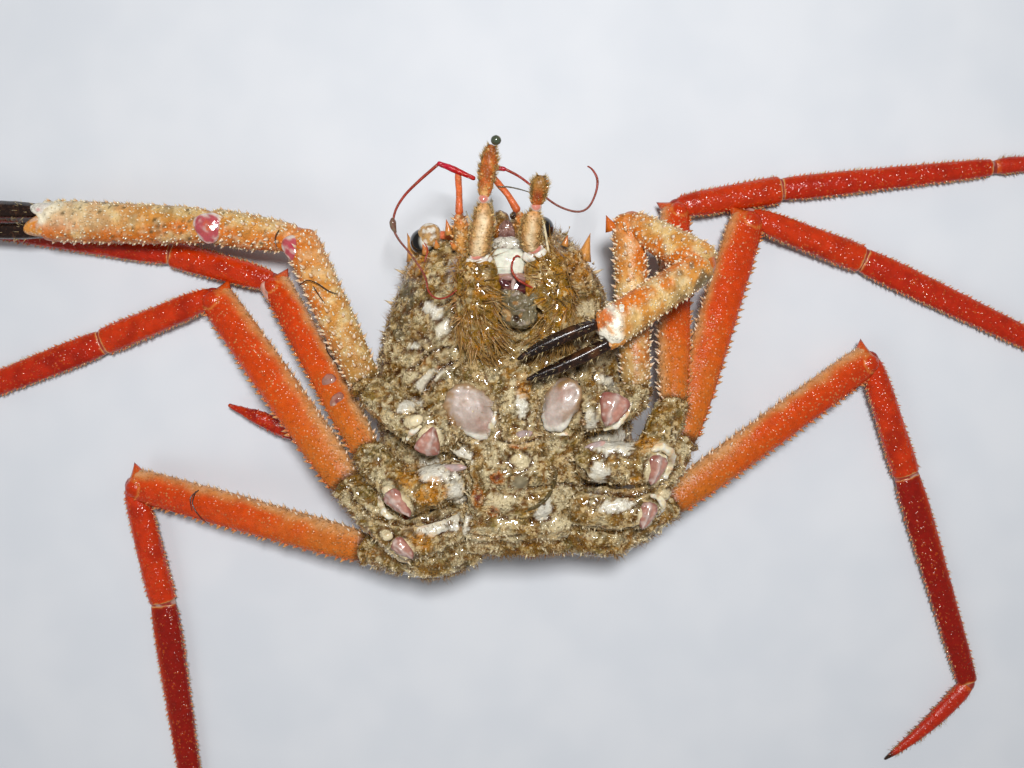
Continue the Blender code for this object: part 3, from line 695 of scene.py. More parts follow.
def eye_finish():
    """The black eye, very glossy, with a faint net."""
    graph = Graph("eye_black", coat=1.0, coat_roughness=0.02)
    net = graph.cells(0.35)
    return graph.done(graph.tint, graph.rough, graph.bump(net, 0.02))


MATERIALS = {
    "leg": shell_finish("red_shell", 1.5, "orange", 0.5, 0.2, 0.5, 0.12),
    "merus": shell_finish("orange_shell", 1.3, "apricot", 0.7, 0.2, 0.45, 0.12),
    "claw": shell_finish("claw_shell", 1.2, "cream", 0.6, 0.24),
    "stalk": shell_finish("feeler_shell", 0.9, "straw", 0.3, 0.25),
    "crust": crust_finish(),
    "flesh": flesh_finish("joint_skin"),
    "membrane": flesh_finish("dome_skin", 0.2, 0.3, 0.1),
    "horn": horn_finish(),
    "hair": hair_finish(),
    "thorn": thorn_finish(),
    "eye": eye_finish(),
}

REST = 0.02          # lowest level of a skin above the floor
TIP_REST = 0.3       # lowest level of a bristle's or a thorn's tip
BARE_BELOW = 1.5     # nothing is strewn on a skin below this level
TOP = 120            # a level above the whole crab
CRUST_LEVEL = 46     # about the level of the crust on the breast
CRUST_FOOT = 30      # the crust that carries soft parts is above this level
SPINES = Crop()            # thorns of the limbs and the brow
WARTS = Crop()             # round white knobs of the claws
BRISTLES = Crop()          # short bristles of the limbs
SMALL_SPINES = Crop()      # bristles of the palps and the antennae
HEAD_HAIRS = Crop()        # long hairs of the mouth legs
TRUNK_GRAINS = Crop()      # pale grains on the crust
TRUNK_THORNS = Crop()      # spinules of the crust, and the shell's thorns
TRUNK_BRISTLES = Crop()    # short bristles and combs of the crust


def front_sign(name):
    """Which side of a limb faces the head: 1 for its sideways direction, -1 for the other one."""
    return 1 if name.endswith("right") else -1


def limb_tube(kind, start, end, girth, ends, bow=0.0, lead=0.0, tail=0.0):
    """A limb piece between two joints, with the outline of its kind."""
    along = (end - start).normalized()
    across = along.cross(UP).normalized()
    base = start - along * lead
    tip = end + along * tail
    line = []
    for share in (step / 12 for step in range(13)):
        line.append(base.lerp(tip, share) + across * bow * 4 * share * (1 - share))
    return Tube(line, OUTLINES[kind], girth, step=1.4, square=0.95, ends=ends)


def row_of_spines(tube, count, first, last, turn, length, width, foot, tip, lean=0.35, jitter=8, seed=0):
    """Spines at nearly even steps along a tube, on one side of it, leaning to its tip."""
    draw = np.random.default_rng(seed + count + int(turn) % 360)
    for step in range(count):
        place = first + (last - first) * (step + draw.uniform(0.2, 0.8)) / count
        root, out, along = tube.skin(place, turn + draw.normal(0, jitter))
        size = length * draw.uniform(0.7, 1.2)
        SPINES.plant([root - out * 0.3], [out + along * lean], [along * 0.18], size + 0.3,
                     width * draw.uniform(0.85, 1.15), rgba(foot, 0.35), rgba(tip, 0.3),
                     tube.home, (turn / 360 % 1, place))


def strew(tube, crop, count, first, last, turns, length, width, foot, tip, lean, seed):
    """Bristles strewn over part of a tube, between two turns."""
    draw = np.random.default_rng(seed)
    for _ in range(count):
        place = draw.uniform(first, last)
        turn = draw.uniform(*turns)
        root, out, along = tube.skin(place, turn)
        size = length * draw.uniform(0.5, 1.5)
        sway = draw.normal(0, 0.25, 3)
        crop.plant([root - out * 0.12], [out + along * lean + sway * 0.6], [along * 0.3 + sway], size,
                   width * draw.uniform(0.8, 1.2), rgba(foot, 0.4), rgba(tip, 0.35),
                   tube.home, (turn / 360 % 1, place))


def tube_skin(name, tube, colour, roughness=0.4):
    """The skin of a tube, ready for relief and paint."""
    return Skin(soften(add_object(name, tube.mesh())), colour, roughness)


def collar(name, tube, place):
    """The thick edge of a limb's root, which laps over the limb's first long piece."""
    path = []
    for turn in range(-16, 197, 14):
        root, out, along = tube.skin(place, turn)
        path.append(Vector(root + out * 0.35 - along * 0.5 * math.sin(math.radians(turn * 3))))
    skin, edge = rod(name, path, [1.0] + [1.4] * (len(path) - 2) + [1.0], "khaki", 0.3)
    lumps = skin.grain(2.2, 36)
    skin.raise_by(lumps * 0.5 + skin.grain(1.0, 37) * 0.25)
    skin.shade("cream", 0.05, 0.3, lumps, 0.8, 0.2)
    skin.shade("dark olive", 0.0, 0.4, -lumps, 0.8)
    strew(edge, BRISTLES, 130, .02, .98, (-30, 210), 1.3, 0.11, "brown", "golden", 0.1, 38)
    skin.finish("crust", "body")


def merus(name, tube, node):
    """The long first piece of a walking leg: red behind, pale in front, golden at its root."""
    front = front_sign(name)
    skin = tube_skin(node, tube, "orange red", 0.18)
    along, across, up = tube.local(skin.points)
    ahead = across * front
    share = along / tube.length
    lumps = skin.grain(6, 1)
    fine = skin.grain(1.3, 2)
    dome_at = ((along - tube.length + 3.6) / 3.4) ** 2 + ((ahead + 0.22) / 0.52) ** 2
    dome = smoothstep(1.15, 0.2, dome_at) * (up > 0.2)
    crease = np.exp(-((ahead - 0.42 + lumps * 0.06) / 0.16) ** 2) * (up > 0)
    skin.raise_by(lumps * 0.18 + fine * 0.09 + dome * 1.0 - crease * 0.22)
    skin.shade("orange", 0.8, 0.1, share + lumps * 0.1, 0.8, 0.3)
    skin.shade("marigold", 0.5, 0.05, share + lumps * 0.1 - fine * 0.06, 0.9, 0.3)
    skin.colour("red", smoothstep(0.45, 1.0, share) * smoothstep(0.5, -0.3, ahead) * 0.5, 0.22)
    edge = 0.64 + lumps * 0.2 - smoothstep(0.85, 1, share) * 0.2 - smoothstep(0.6, 0.1, share) * 0.2
    pale = smoothstep(edge - 0.22, edge + 0.3, ahead + fine * 0.12)
    skin.colour("apricot", pale * (0.8 - 0.3 * fine), 0.3)
    skin.shade("cream", edge + 0.1, edge + 0.6, ahead + fine * 0.3, 0.3)
    skin.colour("scarlet", dome * 0.8, 0.06)
    ring = np.exp(-((dome_at - 1.15) / 0.2) ** 2) * (up > 0.2)
    skin.colour("amber", ring * 0.6)
    specks = smoothstep(0.2, 0.6, skin.grain(1.1, 3))
    skin.colour("brown", specks * pale * smoothstep(0.9, 0.2, share) * 0.5)
    # Painted shade: a dark brown band at the root, where the merus goes in under the collar.
    skin.shade("dark brown", 0.075, 0.045, share + lumps * 0.01, 0.8)
    collar(f"{name}_collar", tube, 0.03)
    rear = 180 if front > 0 else 0
    fore = 180 - rear
    row_of_spines(tube, 30, .06, .98, rear, 1.7, 0.9, "orange", "straw", seed=1, jitter=6)
    row_of_spines(tube, 18, .06, .98, rear - 25 * front, 1.0, 0.6, "orange red", "apricot", seed=2)
    row_of_spines(tube, 26, .03, .78, fore, 1.6, 0.75, "apricot", "white", seed=3)
    row_of_spines(tube, 14, .03, .6, fore + 22 * front, 1.2, 0.6, "apricot", "white", seed=5)
    row_of_spines(tube, 8, .78, .97, fore, 1.0, 0.6, "apricot", "white", seed=4)
    strew(tube, BRISTLES, 150, .02, .95, (-30, 210), 0.7, 0.12, "orange", "straw", 0.8, 11)
    strew(tube, BRISTLES, 60, .0, .45, (20, 160), 0.8, 0.1, "brown", "golden", 0.9, 12)
    strew(tube, BRISTLES, 90, .05, .13, (-20, 200), 1.0, 0.1, "brown", "straw", 0.7, 13)
    fringe = (fore - 28, fore + 28)
    strew(tube, BRISTLES, 190, .02, .97, fringe, 1.1, 0.11, "golden", "cream", 0.8, 14)
    root, out, way = tube.skin(0.965, fore)
    SPINES.plant([root - out * 2.6], [out + way * 0.5], [way * 0.1], 5.2, 3.2,
                 rgba("orange"), rgba("orange red"))
    skin.finish("merus", "merus", node)


def shank(name, tube, node, colour):
    """The second or third piece of a walking leg: deep glossy red with orange rims."""
    skin = tube_skin(node, tube, colour, 0.14)
    along, across, up = tube.local(skin.points)
    front = front_sign(name)
    lumps = skin.grain(7, 4)
    fine = skin.grain(1.6, 5)
    skin.raise_by(lumps * 0.16 + fine * 0.08)
    skin.shade("deep red", -0.1, 0.6, lumps, 0.55)
    skin.shade("orange red", 0.35, 0.95, across * front, 0.6)
    # Painted shade: deep red on the underside.
    skin.shade("deep red", 0.0, -0.8, up, 0.5)
    near_end = np.minimum(along, tube.length - along)
    skin.shade("orange", 1.7, 0.7, near_end + fine * 0.5, 0.75, 0.3)
    skin.shade("straw", 1.1, 0.6, near_end + fine * 0.4, 0.7, 0.3)
    count = round(tube.length / 2.1)
    for turn in (0, 180):
        row_of_spines(tube, count, .05, .97, turn, 0.95, 0.42, "orange red", "peach", seed=20)
        row_of_spines(tube, count, .05, .97, turn + 16, 0.75, 0.36, "orange red", "straw", seed=21, jitter=12)
        strew(tube, BRISTLES, count * 4, .03, .97, (turn - 24, turn + 24), 1.0, 0.12, "straw", "straw",
              0.5, 22)
    strew(tube, BRISTLES, count * 3, .03, .97, (20, 160), 0.5, 0.12, "orange", "peach", 0.9, 23)
    skin.finish("leg", "leg", node)


def dactyl(tube, node):
    """The last piece of a walking leg: red, with a brown horny tip and bristles."""
    skin = tube_skin(node, tube, "red", 0.28)
    along, *_ = tube.local(skin.points)
    share = along / tube.length
    skin.roughen((5, 6, 0.12), (1.2, 7, 0.05))
    skin.shade("orange", 3.0, 0.8, along, 0.8, 0.35)
    skin.shade("dark brown", 0.86, 0.95, share, 1, 0.18)
    for turn in (0, 180):
        row_of_spines(tube, 16, .08, .85, turn, 1.2, 0.34, "orange", "brown", seed=30)
        strew(tube, BRISTLES, 90, .05, .9, (turn - 30, turn + 30), 1.4, 0.12, "straw", "golden", 0.8, 31)
    skin.finish("leg", "leg", node)


def joint_skin(name, place, before, after, girth, colour="brick"):
    """The soft skin that fills the gap between two limb pieces."""
    reach = 3.2
    line = [place - before * reach, place, place + after * reach]
    tube = Tube(smooth_path(line, 6), OUTLINES["joint"], girth, step=0.7, sides=16, ends=(2.5, 2.5))
    skin = tube_skin(name, tube, colour, 0.3)
    skin.roughen((1.6, 8, 0.15))
    skin.patches("pale haze", 3.4, 9, 0.2, 0.5, 0.5)
    skin.patches("wine", 2.8, 10, 0.1, 0.6, 0.4)
    skin.finish("flesh", "leg")


def walking_leg(name):
    """The four long pieces of a walking leg and the soft skin between them."""
    sizes = LIMBS[name[:5]]
    joints = limb_joints(name)
    ways = [(end - start).normalized() for start, end in zip(joints, joints[1:])]
    girths = [row[1:] for row in sizes.values()]
    bow = DACTYL_BOW * front_sign(name)
    upper = limb_tube("merus", joints[0], joints[1], girths[0], (3, 4.5), lead=1.6, tail=1.8)
    middle = limb_tube("carpus", joints[1], joints[2], girths[1], (2.5, 0.9), lead=0.6)
    lower = limb_tube("propodus", joints[2], joints[3], girths[2], (0.9, 1.0))
    tip = limb_tube("dactyl", joints[3], joints[4], girths[3], (1.0, 0.8), bow)
    merus(name, upper, f"{name}_merus")
    shank(name, middle, f"{name}_carpus", "scarlet")
    shank(name, lower, f"{name}_propodus", "deep red" if name[:5] == "leg_4" else "red")
    dactyl(tip, f"{name}_dactyl")
    for index, (label, share) in enumerate((("knee", 0.62), ("shin", 0.9), ("foot", 0.82)), 1):
        girth = (girths[index][0] * share, girths[index][1] * share)
        joint_skin(f"{name}_{label}_skin", joints[index], ways[index - 1], ways[index], girth)


def round_spots(skin, tube, count, span, size, colour, seed):
    """Small round spots strewn over the top of a tube."""
    draw = np.random.default_rng(seed)
    cover = np.zeros(len(skin.points))
    for _ in range(count):
        middle, *_ = tube.skin(draw.uniform(*span), draw.uniform(15, 165))
        far = np.linalg.norm(skin.points - middle, axis=1)
        radius = size * draw.uniform(0.6, 1.25)
        cover = np.maximum(cover, smoothstep(radius * 1.25, radius * 0.6, far))
    skin.colour(colour, cover * 0.85)


def warts_on(tube, spacing, first, last, length, width, seed):
    """White knobs in loose rows round a tube."""
    draw = np.random.default_rng(seed)
    for turn in range(-40, 221, 20):
        count = round(tube.length * (last - first) / spacing)
        for step in range(count):
            place = first + (last - first) * (step + draw.uniform(0.05, 0.95)) / count
            root, out, along = tube.skin(place, turn + draw.normal(0, 7))
            size = draw.uniform(0.3, 1.3)
            WARTS.plant([root - out * 0.25], [out], [along * 0.35], 0.25 + length * size,
                        width * (0.4 + size / 2), rgba("straw", 0.25), rgba("white", 0.14), tube.home,
                        (turn / 360 % 1, place))


# White-tipped ridges of stout thorns on each claw piece: turns round it, and their length.
CLAW_RIDGES = {"merus": ((0, 50, 100, 150, 180), 1.6), "carpus": ((0, 60, 120, 180), 1.3),
               "palm": ((0, 180), 1.0)}


def palm_colours(skin, tube, name, up, share, rear, patches, fine):
    """A palm's white and orange end, and the spots or the grey streak on it."""
    skin.colour("khaki", smoothstep(0.15, 0.6, skin.grain(6, 18)) * smoothstep(0.0, 0.5, up) * 0.5)
    end = 0.93 + 0.08 * rear if name == "claw_right" else 0.88 - 0.06 * rear
    skin.shade("white", end - 0.07, end, share + patches * 0.05, 0.95, 0.2)
    skin.raise_by(smoothstep(end - 0.05, end, share) * skin.grain(2.4, 28) * 1.1)
    flank = smoothstep(0.1, 0.4, rear + fine * 0.2)
    skin.colour("claw orange", flank * smoothstep(0.84, 0.9, share) * 0.95)
    stains = smoothstep(0.1, 0.3, skin.grain(2.6, 29))
    skin.colour("amber", stains * smoothstep(end, end + 0.05, share) * 0.7)
    if name == "claw_right":
        upper_front = smoothstep(0.0, 0.8, up * 0.7 - rear * 0.7)
        skin.colour("cream", upper_front * smoothstep(0.3, 0.9, share) * 0.55)
        round_spots(skin, tube, 40, (.1, .85), 0.75, "dark olive", 71)
    else:
        drawn_out = grain(skin.points * (1, 0.5, 1), 2.6, 19)
        streak = smoothstep(0.5, 0.2, share) * smoothstep(0.0, 0.35, drawn_out - rear * 0.4)
        skin.colour("slate", streak * 0.8, 0.2)
        skin.raise_by(streak * 0.25)


def claw_piece(name, tube, node, kind):
    """One piece of a claw limb: yellow orange, warty, with spots and white knobs."""
    skin = tube_skin(node, tube, "saffron", 0.26)
    along, across, up = tube.local(skin.points)
    share = along / tube.length
    lumps = skin.grain(9, 12)
    patches = skin.grain(4.5, 14)
    fine = skin.grain(1.5, 13)
    rear = -across * front_sign(name)
    skin.raise_by(lumps * 0.25 + fine * 0.16 + patches * 0.12)
    skin.shade("claw orange", -0.1, 0.5, lumps + rear * 0.8 - 0.1, 0.85)
    skin.shade("orange", 0.1, -0.7, up, 0.6)
    skin.shade("straw", -0.1, 0.4, patches - rear * 0.3, 0.7)
    skin.shade("cream", 0.15, 0.5, fine + patches * 0.4, 0.45)
    if kind == "palm":
        palm_colours(skin, tube, name, up, share, rear, patches, fine)
    if kind == "merus":
        skin.shade("claw orange", 0.5, 1, share, 0.7)
        skin.shade("khaki", 0.55, 0.05, share + patches * 0.2, 0.55)
        skin.shade("olive", 0.16, 0.02, share + fine * 0.05, 0.7)
        # Painted shade: a dark brown band at the root, where the merus goes in under the collar.
        skin.shade("dark brown", 0.09, 0.06, share + fine * 0.02, 0.8)
        collar(f"{name}_collar", tube, 0.04)
    if kind == "carpus":
        skin.shade("claw orange", 0.35, 0.0, share, 0.8)
        if name == "claw_right":
            round_spots(skin, tube, 16, (.3, .95), 0.7, "dark olive", 72)
    skin.patches("brown", 1.8, 27, 0.3, 0.7, 0.3)
    length = tube.length
    warts_on(tube, 2.5, .03, .9 if kind == "palm" else .98, 0.6, 0.46, 40)
    turns, size = CLAW_RIDGES[kind]
    for turn in turns:
        row_of_spines(tube, round(length / 4.6), .06, .97, turn, size, 0.8, "saffron", "white",
                      jitter=8, seed=50)
    strew(tube, BRISTLES, round(length * 5), .02, .98, (-40, 220), 0.9, 0.09, "olive", "straw", 0.6, 60)
    skin.finish("claw", "claw", node)


def finger(name, tube, node=None):
    """A black glossy finger with low ridges and pale hair tufts."""
    label = node or f"{name}_fixed_finger"
    skin = tube_skin(label, tube, "horn", 0.2)
    along, across, up = tube.local(skin.points)
    share = along / tube.length
    ridges = np.cos(np.arctan2(up, across) * 5) * smoothstep(1, 0.6, share)
    skin.raise_by(ridges * 0.12 + skin.grain(3, 16) * 0.1)
    skin.shade("black", 0.3, 0.8, share, 0.6)
    skin.patches("brown", 4, 17, 0.2, 0.7, 0.4)
    strew(tube, BRISTLES, 60, .05, .9, (0, 360), 1.5, 0.13, "straw", "cream", 0.8, 61)
    skin.finish("horn", "finger", *([node] if node else []))


# Soft skin and lobes of the limbs: place, half length, half width, height, heading, how
# much it narrows, its colour, the colour of its middle, the colour of its rim, and finish.
LIMB_PATCHES = {
    "wrist_right": ((-109.6, 57.2, 23.6), 5.4, 5.0, 2.4, -84, 0.3, "blush", "rust", "pale", "flesh"),
    "elbow_right": ((-78.4, 49.0, 26.9), 5.8, 3.4, 2.7, -60, 0.2, "blush", "magenta", "pale", "flesh"),
    "palm_lobe_right": ((-172.6, 58.4, 18.4), 5.6, 3.8, 3.4, 196, 0.35, "amber", "claw orange", "amber",
                        "claw"),
    "palm_notch_right": ((-170.6, 64.2, 18.8), 4.6, 2.6, 3.0, 172, 0.3, "pale", "blush", "white", "claw"),
    "palm_lobe_left": ((32.0, 18.2, 60.2), 4.2, 2.4, 3.2, 215, 0.3, "amber", "saffron", "claw orange",
                       "claw"),
    "palm_notch_left": ((33.2, 26.4, 61.0), 4.4, 3.0, 2.8, 215, 0.3, "pale", "apricot", "white", "claw"),
    "knee_leg_2_right": ((-91.4, 34.4, 9.2), 5.4, 2.6, 3.2, -62, 0.1, "salmon", "mauve", "dusky", "flesh"),
    "stain_leg_2_right": ((-66.2, 3.2, 30.4), 2.8, 2.3, 1.6, 40, 0.0, "dusky", "mauve", "brick", "flesh"),
    "stain_two_leg_2_right": ((-62.6, -3.6, 33.6), 3.2, 2.4, 1.6, 60, 0.2, "dusky", "wine", "brick",
                              "flesh"),
}


def limb_patches():
    """Soft skin and stains on the limbs, the lobes of the palms' ends, and two large thorns."""
    for name, (place, half_length, half_width, height, heading, narrow, colour, middle, rim, finish) in \
            LIMB_PATCHES.items():
        skin, unit = cushion(name, place, (half_length, half_width, height), heading, UP, narrow, 2.4)
        folds = skin.grain(1.8, 46)
        far = np.hypot(unit[:, 0], unit[:, 1])
        skin.raise_by(folds * 0.25 + skin.grain(0.9, 47) * 0.08)
        skin.paint(colour, 0.12 if finish == "flesh" else 0.22)
        skin.shade(middle, 0.5, 0.1, far + folds * 0.4, 0.7)
        skin.shade("pale haze", 0.15, 0.5, folds, 0.5)
        skin.shade(rim, 0.84, 1.0, far + folds * 0.25, 0.65)
        skin.finish(finish, "leg" if "leg" in name else "claw")
    for place, way, length, thick, foot, tip in (
            ((59.5, 44.6, 50.5), (1, 0.3, 0.05), 7.0, 2.4, "saffron", "white"),
            ((33, 56, 34), (-0.5, 1, 0.3), 5.0, 2.6, "claw orange", "rust")):
        SPINES.plant([place], [way], [(0, 0.1, 0)], length, thick, rgba(foot, 0.25), rgba(tip, 0.2))


# Long thin dark hairs that lie over the limbs: places on the way.
LONG_HAIRS = (
    ((-75.6, 36.6, 33.4), (-72.4, 38.4, 34.6), (-68.6, 37.2, 35.8), (-64.6, 34.6, 36.4),
     (-61.4, 33.6, 36.6)),
    ((-70.4, 36.4, 35), (-68.2, 33.2, 36), (-66, 30.4, 37)),
    ((-83.6, 56.4, 27), (-84.8, 53.4, 28.4), (-84.2, 49.8, 28.6)),
    ((-118, -38.4, 17.5), (-118.8, -42.6, 19.4), (-116.4, -47, 19.6), (-113.6, -50.4, 18.2)),
    ((-117, -38, 17), (-119.6, -40.6, 18.8), (-119, -45.4, 19.4)),
    ((-68, 17, 24), (-67.4, 13.4, 25.6), (-64.2, 9.4, 27), (-62.8, 6, 28.4)),
)


def long_hairs():
    """The long dark hairs on the limbs."""
    for index, places in enumerate(LONG_HAIRS):
        widths = [0.24] * (len(places) - 1) + [0.12]
        skin, _ = rod(f"long_hair_{index + 1}", places, widths, "dark brown", 0.25, sides=6)
        skin.finish("hair", "hair")


def claw_limb(name):
    """The pieces of a claw limb and the soft skin between them."""
    sizes = LIMBS[name]
    joints = limb_joints(name)
    girths = [row[1:] for row in sizes.values()]
    ways = [(end - start).normalized() for start, end in zip(joints, joints[1:])]
    upper = limb_tube("claw_merus", joints[0], joints[1], girths[0], (3, 3), lead=1.6, tail=3.0)
    middle = limb_tube("claw_carpus", joints[1], joints[2], girths[1], (3, 3), lead=1.0, tail=2.0)
    palm = limb_tube("palm", joints[2], joints[3], girths[2], (3, 3), lead=1.4)
    apart = ways[3].cross(UP).normalized() * FINGER_SPREAD[name]
    fixed = limb_tube("fixed", joints[3] - apart, joints[4] - apart, girths[3], (1, 1), -FINGER_BOW, lead=2)
    moving = limb_tube("moving", joints[3] + apart, joints[4] + apart, girths[3], (1.5, 1), FINGER_BOW,
                       lead=1.2)
    claw_piece(name, upper, f"{name}_merus", "merus")
    claw_piece(name, middle, f"{name}_carpus", "carpus")
    claw_piece(name, palm, f"{name}_palm", "palm")
    finger(name, fixed)
    finger(name, moving, f"{name}_finger")
    for label, place, before, after in (("elbow", joints[1], ways[0], ways[1]),
                                        ("wrist", joints[2], ways[1], ways[2])):
        girth = (girths[1][0] * 0.66, girths[1][1] * 0.7)
        joint_skin(f"{name}_{label}_skin", place, before, after, girth, "claw orange")


def even_skin(name, shape, colour, roughness, voxel, rounds):
    """The skin of a closed form, remeshed evenly and eased."""
    item = add_object(name, shape)
    item.name = name
    remesh = item.modifiers.new("even", "REMESH")
    remesh.mode = "VOXEL"
    remesh.voxel_size = voxel
    apply_modifiers(item)
    skin = Skin(item, colour, roughness)
    skin.relax(rounds)
    return skin


def node_skin(node, colour, roughness, voxel, rounds):
    """A copy of a node's solid, remeshed evenly and eased, ready for relief and paint."""
    shape = bmesh.new()
    shape.from_mesh(frame["nodes"][node].data)
    bmesh.ops.scale(shape, vec=(1 / MM,) * 3, verts=shape.verts)
    bmesh.ops.remove_doubles(shape, verts=shape.verts, dist=0.001)
    return even_skin(f"{node}_skin", shape, colour, roughness, voxel, rounds)


# Marks on the trunk's upper side, by kind: place, half length, half width and heading.
MARKS = {
    "cream": ((-33.4, -24, 7, 2.6, 4), (-22.5, -30.5, 3.6, 5.4, 25), (-27, -44.6, 7.5, 2.6, 8),
        (-19.5, -44.5, 3.4, 4.2, 30), (34, -16.6, 8, 3.0, 8), (27.6, -26, 3.2, 5.4, -8),
        (31.5, 2.2, 4.6, 2.6, -20), (46.5, -18.5, 5, 2.2, -8), (33, -36.4, 4.5, 2.4, 8),
        (24, -6, 2.4, 5.5, 0), (0.5, 0.3, 3.6, 7.0, 0), (-14, -49, 6, 3.4, 0), (13, -43, 6, 3.6, 0),
        (-31, 17, 7, 2.4, 20), (-25.5, 22, 3, 6, 20), (24.7, 28.8, 4, 3, 20), (-36, 5, 5, 2.4, -30),
        (31, 12, 4, 2.4, 30), (-9, -20, 2.6, 3.6, 20), (2.5, -21.5, 4.4, 3.4, 0), (-6, -36, 6, 3.4, 8),
        (15.5, -35.4, 4.4, 4.2, 10)),
    "bare": ((-18.8, -22.5, 3.0, 3.8, 10), (-20.5, -32, 3.4, 6.0, 20), (-26.5, -26.2, 6.6, 3.0, -10),
        (27.3, -28, 3.2, 6.4, -6), (33.5, -16.4, 7.0, 3.2, 8), (24.6, -8.4, 2.0, 5.2, 0),
        (-28.5, -45, 7.2, 2.6, 12), (-18.8, -43.4, 3.4, 3.4, 30), (33, -37.6, 5.4, 2.2, 8),
        (44.5, 28, 3, 2, 0), (-29.5, 4.5, 6.2, 2.4, 42), (-36, -4, 3.4, 2.0, 10),
        (-28, 28, 3.6, 2.2, -30), (2, -2, 2.2, 4.2, 8), (9, -39, 4.2, 2.6, 60),
        (-24.8, 21.8, 3.2, 2.0, 60), (-33.4, 16.3, 3.0, 1.7, 20), (31, 3.4, 3.6, 1.5, -30),
        (14.5, 31.5, 1.8, 4.0, 0)),
    "rust": ((-36.7, -28.0, 2.6, 2, 0), (-28, -33, 4.5, 3, 30), (43.4, -16.6, 2.2, 1.8, 0),
        (2.5, 3, 1.6, 2.6, 0), (-34, 44, 4.5, 6, 0), (22.5, 44, 4.5, 6, 0), (-33, -50, 4, 2.4, 0),
        (40, -31, 3, 2, 40)),
    "lilac": ((-20.3, 40.5, 2.4, 4.2, 0),),
    "grey": ((-37, 33.6, 3, 5.4, -20), (-40, 22, 2.6, 4, -10)),
    "spot": ((-6.5, -27.2, 1.2, 1.0, 0), (-12.9, -34.3, 1.1, 1.6, 0), (0.8, -15.9, 1.4, 0.8, 0),
        (-8, -39, 1.0, 1.0, 0)),
    "wet": ((1.1, -28.5, 2.6, 2.2, 0),),
    "knob": ((-34.8, -8.8, 2.6, 2.2, 0), (1.1, -21.5, 3.0, 2.6, 0), (-43, -31, 2.2, 1.9, 0),
        (-44.5, -48, 2, 1.8, 0), (51, -34.6, 2.4, 1.8, 0)),
    "ridge": ((-29, 14.5, 8.8, 1.2, -41), (27, 22, 8, 1.1, 60)),
    "hollow": ((-14.6, -6, 10.8, 7.6, -50), (14.6, -3.4, 9.8, 6.2, 66)),
    "bed": ((-28.8, -15.3, 5.4, 4.4, 72), (-39.6, -36.6, 6.2, 3.8, -44), (-38.4, -52.2, 4.8, 3.2, -41),
        (31.8, -5.1, 6.2, 5.0, -108), (46.7, -25.3, 5.8, 4.0, -106), (44.2, -41.2, 5.2, 3.4, -109)),
}
# What each kind of mark does: colour, roughness, rise, rim colour, rim rise, bristles
# left, smoothness and raggedness.
KINDS = {
    "hollow": ("mocha", 0.2, -2.8, "khaki", 0.0, 0.0, 0.8, 1.2),
    "bed": ("cream", 0.22, -0.4, "dark olive", -0.5, 0.0, 0.6, 0.6),
    "bare": ("pale", 0.16, 0.3, "dark olive", -0.4, 0.05, 0.55, 3.6),
    "knob": ("cream", 0.26, 0.8, "dark olive", -0.5, 0.1, 0.5, 1.4),
    "cream": ("cream", 0.34, 0.3, "khaki", 0.0, 0.45, 0.15, 3.2),
    "rust": ("saffron", 0.32, 0.0, "gold", 0.0, 0.5, 0.1, 3.6),
    "lilac": ("lilac", 0.18, 0.2, "pale", 0.1, 0.1, 0.7, 2.4),
    "grey": ("slate", 0.18, 0.2, "dark olive", 0.0, 0.4, 0.3, 3.0),
    "spot": ("wine", 0.16, -0.4, "rust", 0.0, 0.4, 0.4, 3.0),
    "wet": ("grey", 0.08, 0.8, "dark olive", -0.3, 0.0, 0.9, 1.6),
    "ridge": ("khaki", 0.26, 0.9, "dark olive", -0.4, 0.5, 0.2, 1.8),
}
# Furrows between the trunk's parts, pressed in and painted dark brown down the middle as shade: places on the
# way and half width.
SHADED_FURROWS = (
    (((-60, -29), (-56, -38), (-50, -41.6), (-41.8, -43.7), (-33.4, -43.7), (-25, -41.6), (-19, -39)), 0.9),
    (((-54.4, -7), (-51.5, -10), (-45, -13.2), (-39, -17.8), (-33.2, -19.8), (-25, -20.4),
      (-17.3, -23.3)), 0.8),
    (((16.8, -22), (22.6, -26.2), (24.3, -31.2)), 0.5),
    (((19.7, -32.2), (28, -33.1), (40, -33.9), (48.3, -32.2), (55.8, -25.5)), 0.8),
    (((23.8, -17), (30.5, -13), (37.2, -10.7), (42.2, -7.7), (43.4, -2)), 0.7),
    (((24.8, -45.9), (34, -47.6), (40.8, -46), (47.5, -42.4), (53.4, -37.3)), 0.7),
    (((3.6, -31.2), (11, -30.4), (19.3, -31.2)), 0.5), (((-16, -47.4), (-8.8, -48.8), (1.2, -48)), 0.4),
    (((-17, -23), (-16.2, -30.4), (-18, -38), (-18.7, -45.4)), 0.6),
    (((-32, -0.4), (-29, 4.6), (-25.4, 8.6), (-20, 10.6)), 0.6),
    (((-36, 8), (-29, 14), (-23, 15.6)), 0.5), (((-8, -14), (0, -15.4), (8, -14)), 0.5),
    (((20, 6), (24, 12), (31, 15)), 0.6), (((-22, -8), (-20.4, -15), (-16, -18)), 0.5),
    (((22, -6), (21.4, -12), (18, -15)), 0.5),
)


def way_off(points, path):
    """How far each point lies, seen from above, from a path of straight stretches."""
    best = np.full(len(points), np.inf)
    for start, end in zip(path, path[1:]):
        start, stretch = np.array(start), np.array(end) - start
        share = np.clip(((points[:, :2] - start) * stretch).sum(1) / (stretch ** 2).sum(), 0, 1)
        best = np.minimum(best, np.linalg.norm(points[:, :2] - start - share[:, None] * stretch, axis=1))
    return best


